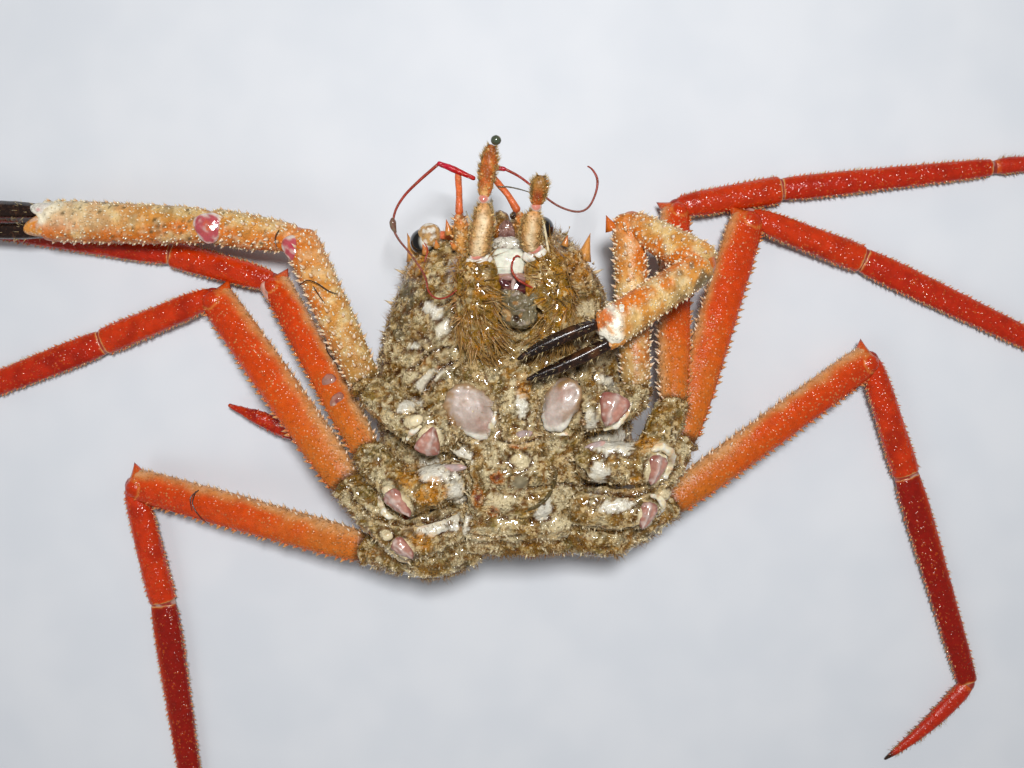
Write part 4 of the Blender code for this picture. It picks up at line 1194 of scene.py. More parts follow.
def put_marks(skin, lowest):
    """Press and paint the trunk's marks into a skin, where it faces up."""
    facing = smoothstep(0.05, 0.4, skin.out[:, 2]) * smoothstep(lowest, lowest + 3, skin.points[:, 2])
    ragged = skin.grain(2.6, 20) * 0.16 + skin.grain(1.1, 21) * 0.1
    rise = np.zeros(len(skin.points))
    marks = [(kind, *mark) for kind, rows in MARKS.items() for mark in rows]
    for kind, x, y, half_length, half_width, heading in marks:
        colour, rough, height, rim, rim_rise, hair, smooth, raggedness = KINDS[kind]
        turn = math.radians(heading)
        dx, dy = skin.points[:, 0] - x, skin.points[:, 1] - y
        length = (dx * math.cos(turn) + dy * math.sin(turn)) / half_length
        width = (dy * math.cos(turn) - dx * math.sin(turn)) / half_width
        far = np.hypot(length, width) + ragged * raggedness
        band = 0.9 / min(half_length, half_width)
        inside = smoothstep(1 + band / 3, 1 - band / 3, far) * facing
        edge = np.exp(-((far - 1 - band * 0.7) / (band * 0.6)) ** 2) * facing
        swell = smoothstep(1.1, 0.1, far) if height > 0 else 1
        rise += inside * height * swell + edge * rim_rise
        skin.colour(rim, edge * 0.75, rough + 0.1)
        skin.colour(colour, inside * 0.9, rough)
        skin.calm = np.maximum(skin.calm * (1 - inside), inside * smooth)
        skin.hair *= 1 - np.maximum(inside, edge * 0.8) * (1 - hair)
    for path, half in SHADED_FURROWS:
        far = way_off(skin.points, path) + ragged * 2.2
        rim = np.exp(-((far - half * 1.9) / 0.5) ** 2) * facing
        inside = smoothstep(half * 1.6, half * 0.3, far) * facing
        rise += rim * 0.15 - inside * 2.2
        skin.colour("rust", rim * smoothstep(0.0, 0.1, ragged) * 0.5)
        # Painted shade: dark brown down the middle of each furrow.
        skin.shade("dark brown", 0.1, 0.8, inside, 0.9, 0.2)
        skin.calm *= 1 - inside
    return rise


def trunk_piece(node, lumps=0.7, voxel=0.8, rounds=8, lowest=CRUST_FOOT):
    """A piece of the trunk: lumpy olive crust with cream patches, marks and hollows, with shade painted into
    the hollows.
    """
    skin = node_skin(node, "khaki", 0.42, voxel, rounds)
    broad = skin.grain(7, 22)
    middle = skin.grain(3.2, 23)
    small = skin.grain(1.5, 24)
    skin.shade("olive", -0.1, 0.35, broad, 0.8)
    skin.patches("gold", 9, 25, 0.1, 0.5, 0.4)
    skin.patches("sage", 5, 39, 0.05, 0.3, 0.6)
    skin.patches("mocha", 4, 40, 0.1, 0.35, 0.6)
    skin.shade("oat", 0.16, 0.3, middle + small * 0.5, 0.7, 0.26)
    skin.shade("cream", 0.13, 0.22, skin.grain(6.5, 27) + small * 0.4, 0.85, 0.24)
    skin.patches("dark olive", 2.4, 26, 0.1, 0.4, 0.75)
    rise = put_marks(skin, lowest)
    rough = 1 - skin.calm * 0.9
    skin.raise_by(rise + (broad * 0.7 + middle * 0.8 + small * 0.55) * lumps * rough)
    hollow = skin.hollows(4)
    # Painted shade: brown and dark brown where the skin lies in hollows; cream where it stands out on the
    # crests.
    skin.colour("brown", smoothstep(0.02, 0.2, hollow) * 0.85 * rough, 0.24)
    skin.colour("dark brown", smoothstep(0.12, 0.4, hollow) * 0.9 * rough, 0.18)
    skin.colour("cream", smoothstep(-0.1, -0.32, hollow) * 0.55 * rough)
    return skin


def bristle_trunk(skin, seed, spacing=0.78, thorn_spacing=3.4, grain_spacing=2.4):
    """Short golden brown bristles, pale grains and white-tipped spinules on the crust."""
    flat = skin.points[:, 2] > BARE_BELOW
    above = 0.3 + 0.7 * smoothstep(-0.2, 0.3, skin.out[:, 2])
    patches = 0.04 + 0.96 * smoothstep(-0.1, 0.15, skin.grain(3.4, 30))
    roots, outs, _, draw = sprinkle(skin, spacing, seed, skin.hair * flat * patches * above)
    count = len(roots)
    clump = np.stack([grain(roots, 2.2, shift) for shift in (33, 34, 35)], 1)
    sway = draw.normal(0, 0.3, (count, 3)) + clump * 1.1
    dark = draw.random((count, 1))
    feet = rgba("brown", 0.4) * dark + rgba("dark olive", 0.4) * (1 - dark)
    tips = rgba("golden", 0.3) * dark + rgba("honey", 0.3) * (1 - dark)
    TRUNK_BRISTLES.plant(roots - outs * 0.15, outs + sway * 0.8, sway * 0.7, draw.uniform(1.0, 2.7, count),
                         draw.uniform(0.08, 0.13, count), feet, tips, skin.home, skin.unroll(roots))
    roots, outs, tints, draw = sprinkle(skin, thorn_spacing, seed + 1, skin.hair * flat * above)
    count = len(roots)
    sway = draw.normal(0, 0.2, (count, 3))
    TRUNK_THORNS.plant(roots - outs * 0.3, outs + sway, sway * 0.4, draw.uniform(0.9, 2.0, count),
                       draw.uniform(0.35, 0.6, count), tints, rgba("cream", 0.3), skin.home,
                       skin.unroll(roots))
    mask = (0.3 + 0.7 * (1 - skin.calm)) * flat * above
    roots, outs, tints, draw = sprinkle(skin, grain_spacing, seed + 2, mask * (skin.hair > 0.2))
    count = len(roots)
    size = draw.uniform(0.35, 0.8, (count, 1))
    # Each grain's foot is painted darker than the crust round it, as shade where the grain meets the crust.
    lighter = tints * 0.75 + rgba("cream", 0.22) * 0.25
    TRUNK_GRAINS.plant(roots - outs * size * 0.45, outs, outs * 0, size * 1.25, size * 0.85,
                       tints * (0.7, 0.7, 0.7, 1), lighter, skin.home, skin.unroll(roots))


def surface_of(skins):
    """The skins as one surface on which smaller things are stood."""
    shape = bmesh.new()
    for skin in skins:
        shape.from_mesh(skin.item.data)
    tree = BVHTree.FromBMesh(shape)
    shape.free()
    return tree


def stand(tree, x, y):
    """The crust's surface straight under a point, and the way out of it there."""
    spot, out, *_ = tree.ray_cast(Vector((x, y, TOP)), -UP)
    if spot is None or spot.z < CRUST_FOOT:
        spot, out, *_ = tree.find_nearest(Vector((x, y, CRUST_LEVEL)))
    return spot, out


def cushion(name, place, size, heading, out=UP, narrow=0.0, square=2.0, sink=0.25, detail=4):
    """A soft cushion: half length, half width and height; it narrows the way it heads."""
    shape = bmesh.new()
    bmesh.ops.create_icosphere(shape, subdivisions=detail, radius=1)
    skin = Skin(add_object(name, shape))
    unit = skin.points.copy()
    flat = np.maximum(np.hypot(unit[:, 0], unit[:, 1]), 1e-6)
    squared = (np.abs(unit[:, 0]) ** square + np.abs(unit[:, 1]) ** square) ** (1 / square)
    unit[:, :2] *= (flat / np.maximum(squared, 1e-6))[:, None]
    turn = math.radians(heading)
    out = Vector(out).normalized()
    ahead = Vector((math.cos(turn), math.sin(turn), 0))
    ahead = (ahead - out * ahead.dot(out)).normalized()
    side = out.cross(ahead)
    moved = np.outer(unit[:, 0] * size[0], ahead)
    moved += np.outer(unit[:, 1] * (1 - narrow * unit[:, 0]) * size[1], side)
    moved += np.outer((unit[:, 2] - sink) * size[2], out)
    skin.points = moved + np.array(place)
    skin.write()
    return skin, unit


def rod(name, points, widths, colour, roughness, flat=1, sides=12, step=0.8):
    """The skin of a rod on a smooth path: its half width at each point, and how flat it is."""
    heights = [width * flat for width in widths]
    points = [Vector(point) for point in points]
    gone = np.cumsum([0] + [(end - start).length for start, end in zip(points, points[1:])])
    girth = (max(widths), max(heights))
    outline = [(mark / gone[-1], wide / girth[0], high / girth[1])
               for mark, wide, high in zip(gone, widths, heights)]
    tube = Tube(smooth_path(points, 6), outline, girth, step, (widths[0], widths[-1]), sides)
    return tube_skin(name, tube, colour, roughness), tube


# Soft skin that swells out of the crust: place, half length, half width, height,
# heading, how much it narrows that way, and its kind.
SWELLINGS = {
    "dome_right": ((-14.6, -6.0), 10.8, 7.4, 3.2, -50, 0.16, "dome"),
    "dome_left": ((14.6, -3.4), 9.8, 6.0, 3.0, 66, -0.16, "dome"),
    "skin_claw_right": ((-28.8, -15.3), 4.8, 3.5, 1.9, 74, 0.6, "pink"),
    "skin_claw_left": ((31.6, -5.0), 5.6, 4.2, 2.0, -110, 0.6, "pink"),
    "skin_leg_2_right": ((-39.4, -36.6), 5.4, 2.9, 1.9, -44, 0.5, "pink"),
    "skin_leg_2_left": ((46.7, -25.4), 5.0, 3.0, 1.9, -106, 0.5, "pink"),
    "skin_leg_3_right": ((-38.2, -52.2), 4.2, 2.4, 1.8, -41, 0.4, "pink"),
    "skin_leg_3_left": ((44.0, -41.2), 4.6, 2.6, 1.8, -109, 0.5, "pink"),
    "slit_right": ((-21.2, -24.8), 4.6, 1.3, 1.2, 3, 0.2, "slit"),
    "slit_left": ((26.4, -17.8), 4.2, 1.7, 1.2, 14, -0.3, "slit"),
    "slit_middle": ((2.3, -12.6), 3.0, 1.3, 1.2, 6, 0.0, "slit"),
    "pearl_right": ((-33.2, -8.6), 2.5, 2.0, 1.6, 20, 0.0, "pearl"),
    "pearl_leg_2_right": ((-43.4, -32.4), 2.0, 1.7, 1.4, 20, 0.0, "pearl"),
    "pearl_leg_3_right": ((-43.6, -48.6), 1.9, 1.5, 1.2, 20, 0.0, "pearl"),
}
# Pale folds of skin on the crust: places on the way and half width.
FOLDS = {
    "rim_dome_right": (((-6.9, -5.6), (-7.9, -10), (-10.4, -13.6), (-13.9, -16.6)), 1.15),
    "rim_dome_left": (((9.2, -7.6), (10.8, -11), (13.8, -13), (17.4, -13.4)), 1.1),
    "fold_leg_2_right": (((-46.6, -35.2), (-46.2, -38.6), (-44.2, -41.6), (-41.2, -43.2)), 1.3),
    "fold_claw_left": (((38.2, -2.6), (36.6, -6.4), (33.2, -10.2), (29.2, -11.9)), 1.2),
    "fold_leg_2_left": (((44.6, -18.4), (48.2, -17.6), (51.8, -19.8), (52.4, -24.4), (50.4, -29)), 1.6),
    "inner_leg_2_left": (((46.8, -19.6), (49.8, -21.6), (50.2, -25.4)), 1.1),
    "fold_leg_3_left": (((45.2, -34.4), (48.4, -35.4), (49.9, -38.4), (48.2, -43.6)), 1.2),
    "fold_claw_right": (((-36.6, -15.4), (-34.6, -12.4), (-31.2, -10)), 1.1),
    "fold_leg_3_right": (((-45.2, -51.4), (-45, -54.6), (-42.6, -58)), 1.1),
}
# The way of the dark strand across the belly.
STRAND = ((13.4, -26.4), (12.9, -29), (12.2, -31), (9.8, -34.4), (6.4, -37), (2.8, -38.8))
# Rows of close bristles like combs: places on the way, their lean, and their number.
COMBS = (
    (((-42.6, -44.6), (-36, -46.6), (-29.4, -44.2), (-22, -42.6), (-16.8, -37.4)), (0.2, -0.9, 0.2), 120),
    (((-31, -59), (-24.6, -58), (-17.7, -54.2)), (0.3, -0.9, 0.1), 60),
    (((27.6, -34.6), (34, -35.6), (42.4, -34.4)), (0, -0.9, 0.2), 70),
    (((-16, -51), (-6, -53.6), (4, -54), (14, -52.6), (20, -49)), (0, -0.9, 0.1), 150),
    (((-24, -56), (-12, -56.6), (0, -57), (14, -56), (24, -52)), (0, -1.0, -0.1), 150),
    (((20, -46.4), (30, -47.6), (40, -46.4)), (0.1, -0.9, 0.1), 80),
    (((-36, -22.6), (-30, -25.2), (-24, -23.4)), (0.1, -0.9, 0.3), 60),
    (((22, -14), (29, -13.4), (35, -13.6)), (0, -0.8, 0.4), 60),
    (((37, -13), (40, -8), (41.6, -1)), (0.9, -0.2, 0.2), 70),
)


def soft_parts(tree):
    """The domes, the membranes and the pale folds that lie on the crust."""
    for name, ((x, y), half_length, half_width, height, heading, narrow, kind) in SWELLINGS.items():
        spot, out = stand(tree, x, y)
        out = (out + UP * 1.2).normalized()
        square = 3.0 if kind == "pink" else 2.2
        skin, unit = cushion(name, spot, (half_length, half_width, height), heading, out, narrow, square)
        veins = skin.grain(2.4, 41)
        far = np.hypot(unit[:, 0], unit[:, 1])
        if kind == "dome":
            low_end = unit[:, 0] * np.sign(narrow)
            skin.raise_by(veins * 0.8 * smoothstep(0.2, 0.9, far))
            skin.paint("haze", 0.4)
            skin.patches("mocha", 4, 48, 0.1, 0.5, 0.5)
            # Painted highlight: a pale sheen towards one side of the dome.
            skin.shade("pale haze", 0.8, 0.0, np.hypot(unit[:, 0] + 0.45, unit[:, 1] - 0.3), 0.55)
            ahead = smoothstep(0.0, 0.7, unit[:, 0] + veins * 0.6)
            skin.colour("dusky", ahead * smoothstep(0.9, 0.5, far) * 0.6)
            edge = smoothstep(0.7, 0.96, far + veins * 0.5)
            skin.colour("khaki", edge * smoothstep(0.2, -0.3, low_end) * 0.8)
            rim = smoothstep(0.84, 0.96, far + low_end * 0.12)
            skin.colour("pale", rim * smoothstep(-0.1, 0.5, low_end) * 0.8)
        elif kind == "pink":
            skin.paint("dusky", 0.2)
            skin.shade("salmon", -0.2, 0.5, unit[:, 1] + veins * 0.5, 0.4)
            # Painted highlight: a pale line along the fold down the middle.
            skin.colour("pale haze", np.exp(-((unit[:, 1] + 0.1 + veins * 0.2) / 0.2) ** 2) * 0.6)
            skin.shade("wine", 0.82, 1.0, far, 0.5)
            skin.patches("pale haze", 1.4, 49, 0.1, 0.4, 0.5)
            crease = np.exp(-((unit[:, 1] + 0.1 + veins * 0.2) / 0.14) ** 2) * (unit[:, 2] > 0)
            skin.raise_by(crease * 0.5 + skin.grain(1.3, 49) * 0.25)
        elif kind == "slit":
            skin.paint("lilac", 0.1)
            skin.shade("salmon", 0.0, 0.5, veins, 0.5)
        else:
            skin.paint("cream", 0.16)
            skin.shade("khaki", 0.0, 0.5, veins, 0.5)
        skin.raise_by(veins * 0.22 + skin.grain(1.1, 42) * 0.06)
        skin.finish("membrane" if kind == "dome" else "flesh", "body")
    for name, (places, half) in FOLDS.items():
        path = []
        for x, y in places:
            spot, out = stand(tree, x, y)
            path.append(spot + UP * half * 0.35)
        widths = [half * 0.45] + [half] * (len(path) - 2) + [half * 0.45]
        skin, _ = rod(name, path, widths, "cream", 0.14, flat=0.8)
        folds = skin.grain(1.8, 43)
        skin.raise_by(folds * 0.45 + skin.grain(0.8, 44) * 0.12)
        skin.shade("pale", -0.1, 0.3, folds, 0.8)
        skin.patches("amber", 2.6, 45, 0.1, 0.5, 0.45)
        skin.shade("dusky", 0.2, 0.6, -folds, 0.5)
        skin.finish("flesh", "body")


def strand_on_belly(tree):
    """The thick dark strand that lies across the belly."""
    path = [stand(tree, x, y)[0] + UP * 0.5 for x, y in STRAND]
    skin, _ = rod("belly_strand", path, [0.75] * (len(path) - 1) + [0.3], "dark olive", 0.2, sides=8)
    skin.roughen((1.6, 80, 0.2))
    skin.patches("slate", 2.4, 81, 0.0, 0.4, 0.6)
    skin.finish("stalk", "body")


def combs(tree):
    """Close rows of bristles along the lower edges of the limb roots and the belly."""
    draw = np.random.default_rng(170)
    for places, lean, count in COMBS:
        path = smooth_path([(*place, 0) for place in places], 8)
        marks = np.linspace(0, len(path) - 1.001, count)
        for mark in marks:
            flat = path[int(mark)].lerp(path[int(mark) + 1], mark % 1)
            spot, out = stand(tree, flat.x, flat.y + draw.normal(0, 0.5))
            sway = draw.normal(0, 0.14, 3)
            TRUNK_BRISTLES.plant([spot - out * 0.2], [np.array(lean) + np.array(out) * 0.5 + sway],
                                 [sway + (0, 0, -0.2)], draw.uniform(1.4, 2.6), 0.13,
                                 rgba("brown", 0.4), rgba("golden", 0.3))


# Thorns on each side of the shell: distance to the head, level, length and lean.
SHELL_THORNS = ((47, 28, 7.5, 1.9), (41, 20, 4.5, 0.7), (30, 18, 4, 0.7), (19, 17, 3.6, 0.7),
                (8, 16, 3.4, 0.7), (-3, 16, 3.2, 0.7), (-15, 16, 3, 0.7), (-27, 16, 3, 0.7),
                (-38, 17, 2.8, 0.7))
LONG_THORN = 7    # a thorn longer than this is stout and leans to the head


def shell_thorns(tree):
    """The larger thorns on both sides of the shell, the first one long and orange."""
    for forward, level, length, lean in SHELL_THORNS:
        for sign in (-1, 1):
            spot, *_ = tree.ray_cast(Vector((sign * 90, forward, level)), Vector((-sign, 0, 0)))
            if spot is None:
                continue
            big = length > LONG_THORN
            way = Vector((sign * (0.35 if big else 1), lean * (1 if big else 0.5), 0.15))
            TRUNK_THORNS.plant([spot - way.normalized() * 1.6], [way], [(sign * 0.1, 0.1, 0)], length + 1.6,
                               3.0 if big else 1.4, rgba("gold", 0.35),
                               rgba("amber" if big else "cream", 0.3))


def trunk():
    """The breast, the belly, the shell and the roots of the limbs."""
    skins = []
    for index, node in enumerate(("breast", "belly")):
        skin = trunk_piece(node)
        bristle_trunk(skin, 100 + index * 3)
        skins.append((skin, "body", node))
    for index, name in enumerate(RUNS):
        skin = trunk_piece(f"{name}_base")
        bristle_trunk(skin, 120 + index * 3)
        skins.append((skin, "body", f"{name}_base"))
    skin = trunk_piece("carapace", voxel=1.0, rounds=6, lowest=18, lumps=1.0)
    bristle_trunk(skin, 160, 1.0, 4.6, 2.4)
    skins.append((skin, "shell", "carapace"))
    tree = surface_of([skin for skin, *_ in skins])
    soft_parts(tree)
    strand_on_belly(tree)
    combs(tree)
    shell_thorns(tree)
    for skin, slot, node in skins:
        skin.finish("crust", slot, node)


def mouth_leg(side):
    """The outer mouth leg: a golden brown cushion under long hairs that lie over the mouth."""
    node = f"mouth_leg_{side}"
    skin = node_skin(node, "ochre", 0.3, 0.5, 5)
    middle = np.array((-13.0, 31.0) if side == "right" else (10.5, 31.0))
    lumps = skin.grain(3.5, 50)
    skin.raise_by(lumps * 0.7 + skin.grain(1.3, 51) * 0.3)
    skin.shade("amber", 0.0, 0.4, lumps, 0.6, 0.2)
    skin.patches("cream", 3.0, 52, 0.15, 0.45, 0.6, 0.2)
    skin.patches("dark olive", 2.2, 53, 0.05, 0.4, 0.6)
    # Painted shade: brown in the hollows.
    skin.shade("brown", 0.02, 0.25, skin.hollows(4), 0.8)
    facing = smoothstep(-0.3, 0.3, skin.out[:, 2])
    patches = 0.25 + 0.75 * smoothstep(-0.2, 0.2, skin.grain(2.6, 54))
    mouth_near = np.hypot((skin.points[:, 0] + 1.8) / 7.6, (skin.points[:, 1] - 41) / 9)
    lump_near = np.hypot((skin.points[:, 0] - 2.2) / 7.4, (skin.points[:, 1] - 29) / 6.4)
    facing = facing * smoothstep(1.0, 1.35, mouth_near) * smoothstep(0.9, 1.2, lump_near)
    for spacing, length, seed in ((0.96, 6.2, 180), (1.0, 2.4, 181)):
        roots, outs, _, draw = sprinkle(skin, spacing, seed + (side == "left") * 5, facing * patches)
        count = len(roots)
        away = roots[:, :2] - middle
        away /= np.maximum(np.linalg.norm(away, axis=1), 0.5)[:, None]
        clump = np.stack([grain(roots, 1.7, shift) for shift in (55, 56, 57)], 1)
        inward = 1.0 if side == "right" else -1.0
        flow = np.stack([away[:, 0] * 0.5 + inward * 0.45, away[:, 1] * 0.55 - 0.35, np.zeros(count)], 1)
        leans = outs * 0.35 + flow * 1.1 + clump * 1.3 + draw.normal(0, 0.08, (count, 3))
        bends = flow * 0.25 + clump * 0.3 + (0, 0, -0.28) + draw.normal(0, 0.1, (count, 3))
        tone = draw.random((count, 1))
        tone = np.clip(tone * 0.6 + 0.4 + clump[:, :1] * 1.2, 0, 1)
        feet = rgba("dark brown", 0.3) * tone + rgba("sienna", 0.3) * (1 - tone)
        tips = rgba("honey", 0.2) * tone + rgba("straw", 0.2) * (1 - tone)
        lengths = length * draw.uniform(0.6, 1.3, count)
        HEAD_HAIRS.plant(roots - outs * 0.2, leans, bends, lengths, draw.uniform(0.16, 0.3, count),
                         feet, tips, skin.home, skin.unroll(roots))
    skin.finish("crust", "hair", node)


# Each palp: its lower and upper piece, by places on the way and half widths.
PALPS = {
    "right": (([(-13, 44.5, 54.5), (-12.2, 49, 56), (-10.8, 56, 57.8), (-10.6, 62.6, 59.2)],
               (2.6, 3.9, 3.7, 2.4)),
              ([(-10.6, 63.6, 59.4), (-10.1, 67, 59.8), (-9.3, 72, 60), (-8.5, 77, 60), (-7.7, 80.9, 60)],
               (1.5, 2.2, 3.1, 2.7, 1.2))),
    "left": (([(5.6, 46.5, 54.5), (4.6, 51, 56.5), (5.0, 56, 59.4), (6.0, 60, 60.8)], (2.6, 3.7, 3.5, 2.3)),
             ([(6.2, 61, 61), (6.8, 64.5, 62.2), (7.4, 68, 63.8), (7.7, 70.6, 64.2)],
              (1.8, 2.6, 2.8, 1.8))),
}

PALP_ROOT_HEADINGS = {"right": 20, "left": 25}


def palp(side):
    """A palp of the mouth: two pieces with pink joints, hairy edges, and a bead at the right one's tip."""
    lower, upper = PALPS[side]
    for part, (places, widths) in (("lower", lower), ("upper", upper)):
        colour = "russet" if part == "upper" else "tan"
        skin, tube = rod(f"palp_{side}_{part}", places, widths, colour, 0.3, flat=0.92)
        along, across, up = tube.local(skin.points)
        share = along / tube.length
        lumps = skin.grain(2.2, 60)
        skin.raise_by(lumps * 0.4 + skin.grain(0.9, 61) * 0.2)
        band = smoothstep(0.66, 0.12, np.abs(across + lumps * 0.25)) * (up > 0)
        if part == "lower":
            skin.colour("peach", band * 0.7, 0.3)
            skin.colour("cream", band * band * smoothstep(1.0, 0.7, share) * 0.75, 0.3)
            skin.colour("dark olive", smoothstep(0.1, 0.5, lumps) * (1 - band) * 0.6)
            skin.shade("sienna", 0.55, 0.9, np.abs(across) + lumps * 0.4, 0.7)
        elif side == "right":
            skin.shade("rust", 0.0, 0.4, lumps, 0.4)
            streak = grain(skin.points * (1, 0.35, 1), 1.2, 62)
            skin.shade("honey", 0.0, 0.4, streak, 0.5, 0.2)
            skin.shade("brown", 0.0, 0.35, -streak, 0.45)
            skin.shade("brown", 0.6, 1.0, share + lumps * 0.2, 0.5)
            skin.shade("sienna", 0.5, 0.9, np.abs(across), 0.6)
            skin.colour("straw", smoothstep(0.3, 0.0, share) * band * 0.7)
        else:
            skin.shade("olive", 0.3, 0.8, share, 0.7)
            skin.colour("wine", np.exp(-((share - 0.4) / 0.16) ** 2) * band * 0.6)
            skin.shade("ochre", 0.3, 0.8, np.abs(across), 0.5)
        for turn in (0, 180, 30, 150):
            row_of_spines(tube, round(tube.length / 5), .06, .95, turn, 0.6, 0.6, colour, "straw",
                          seed=62, jitter=16)
            strew(tube, SMALL_SPINES, 90, .04, .97, (turn - 22, turn + 22), 1.0, 0.09, "ochre", "straw",
                  0.9, 63)
        strew(tube, SMALL_SPINES, 60, .04, .97, (20, 160), 0.7, 0.1, "ochre", "straw", 0.7, 64)
        nodes = [f"palp_{side}"] if part == "lower" else []
        skin.finish("stalk", "stalk", *nodes)
    elbow = Vector(upper[0][0]) + UP * 0.5
    root = Vector(lower[0][0]) + Vector((0.4, 1.2, 1.6))
    for label, place, size, heading in (("elbow", elbow, (1.7, 1.9, 1.6), 80),
                                        ("root", root, (2.8, 1.6, 1.6), PALP_ROOT_HEADINGS[side])):
        skin, unit = cushion(f"palp_{side}_{label}", place, size, heading)
        skin.paint("coral", 0.12)
        skin.shade("pale", 0.62, 0.9, np.hypot(unit[:, 0], unit[:, 1]), 0.8)
        skin.roughen((1.2, 65, 0.15))
        skin.finish("flesh", "stalk")
    skin, unit = cushion(f"palp_{side}_web", root + Vector((0.2, -1.6, -1.4)), (4.6, 2.6, 2.4), 12)
    skin.paint("pale", 0.14)
    skin.patches("pale haze", 1.6, 66, 0.0, 0.4, 0.7)
    skin.roughen((1.4, 67, 0.4))
    skin.finish("flesh", "stalk")


def bead():
    """The round dark green bead at the tip of the right palp."""
    skin, _ = cushion("palp_bead", (-6.6, 82.0, 60.4), (1.7, 1.6, 1.6), 0, sink=0, detail=3)
    skin.paint("slate green", 0.1)
    skin.patches("khaki", 1.4, 68, 0.2, 0.5, 0.5)
    skin.roughen((0.9, 69, 0.1))
    skin.finish("flesh", "stalk")


# Each antenna: its foot, its stalk, its thick red piece and its thin thread, by places
# on the way and half widths.
ANTENNAE = {
    "right": {
        "foot": ([(-17.6, 46, 43), (-18.4, 50.5, 44.4), (-18.8, 56, 45.2), (-19.2, 60.6, 45.6)],
                 (2.2, 2.9, 2.7, 1.7)),
        "stalk": ([(-19.2, 59.6, 45.6), (-19.1, 66, 46.6), (-19.3, 71.6, 47.8), (-19.4, 74.2, 48.4)],
                  (1.5, 1.1, 1.2, 0.9)),
        "joint": ([(-13.6, 71.3, 48.8), (-18, 73.2, 49), (-22, 74.9, 49.1), (-26.2, 76.5, 49)],
                  (0.7, 1.0, 1.15, 0.8)),
        "thread": ([(-25.6, 76.3, 49), (-32.6, 70.4, 48.4), (-37.4, 65.6, 48), (-40.4, 60.6, 47.5),
                    (-41, 55.4, 47.2), (-39, 51.2, 47.6), (-35.2, 46.6, 48.4), (-30.4, 39.4, 50),
                    (-29.2, 34.6, 51.8), (-26.6, 32, 53.4), (-22.8, 32.2, 55.4), (-19.4, 34.6, 56.4)],
                   (0.62, 0.55, 0.5, 0.46, 0.44, 0.42, 0.4, 0.4, 0.4, 0.38, 0.36, 0.3))},
    "left": {
        "foot": ([(3, 48.5, 43), (2.4, 52.6, 44), (1.4, 57, 45), (0.6, 60.8, 45.4)], (2.2, 2.8, 2.6, 1.6)),
        "stalk": ([(0.7, 60.6, 45.4), (-2.8, 66.2, 46.4), (-6.4, 70.4, 47.2), (-8, 72.6, 47.8)],
                  (1.5, 1.1, 1.2, 0.9)),
        "joint": ([(-8.2, 72.6, 48.2), (-7.2, 74.8, 48.8), (-3.4, 74.4, 49)], (0.9, 1.0, 0.7)),
        "thread": ([(-4, 74.6, 49), (1.6, 71.6, 49), (8.4, 66.2, 48.8), (14, 62.4, 48.4), (20, 60.6, 48.2),
                    (23.8, 62, 48), (26.2, 66.6, 48), (26.8, 71.2, 48), (25, 74.6, 48), (23.4, 75.6, 48)],
                   (0.55, 0.46, 0.42, 0.4, 0.4, 0.4, 0.4, 0.5, 0.36, 0.26))},
}


def antenna(side):
    """An antenna: a warty orange foot, an orange stalk, a thick red piece and a thin thread."""
    parts = ANTENNAE[side]
    looks = {"foot": ("gold", "stalk", 0.32), "stalk": ("coral orange", "stalk", 0.24),
             "joint": ("crimson", "stalk", 0.16), "thread": ("brick", "stalk", 0.25)}
    for part, (places, widths) in parts.items():
        colour, material, roughness = looks[part]
        thin = part in ("thread", "joint")
        skin, tube = rod(f"antenna_{side}_{part}", places, widths, colour, roughness,
                         sides=8 if part == "thread" else 12, step=1.0 if thin else 0.7)
        along, *_ = tube.local(skin.points)
        share = along / tube.length
        if part == "foot":
            skin.roughen((1.8, 70, 0.4), (0.8, 71, 0.15))
            skin.shade("rust", 0.55, 0.9, share, 0.7)
            skin.patches("dark olive", 2, 72, 0.1, 0.4, 0.6)
            skin.patches("cream", 1.6, 73, 0.1, 0.4, 0.6)
            strew(tube, SMALL_SPINES, 120, .04, .95, (-20, 200), 1.0, 0.12, "brown", "golden", 0.4, 74)
            for turn in (0, 60, 120, 180):
                row_of_spines(tube, 5, .1, .95, turn, 1.2, 0.55, "amber", "cream", seed=75)
        elif part == "stalk":
            skin.roughen((1.5, 76, 0.08))
            skin.patches("rust", 1.6, 77, 0.0, 0.4, 0.5)
            skin.colour("brick", np.maximum(smoothstep(0.12, 0.0, share), smoothstep(0.9, 1, share)) * 0.6)
        elif part == "joint":
            skin.roughen((1.4, 78, 0.14))
            skin.shade("magenta", 0.45, 0.8, share, 0.5, 0.1)
        else:
            skin.shade("dusky brown", 0.25, 0.45, share, 0.7)
            skin.shade("brick", 0.6, 0.85, share, 0.7)
        nodes = [f"antenna_{side}"] if part == "stalk" else []
        skin.finish(material, "stalk", *nodes)


def droplet():
    """The small swelling halfway down the right antenna's thread."""
    places = ((-41.3, 58.8, 47.4), (-41.2, 57.4, 47.3), (-41, 55.6, 47.2), (-40.2, 53.6, 47.3))
    skin, _ = rod("antenna_droplet", places, (0.4, 1.25, 1.1, 0.4), "dusky brown", 0.16, step=0.4)
    skin.patches("grey", 1.2, 79, 0.0, 0.5, 0.6)
    skin.finish("flesh", "stalk")


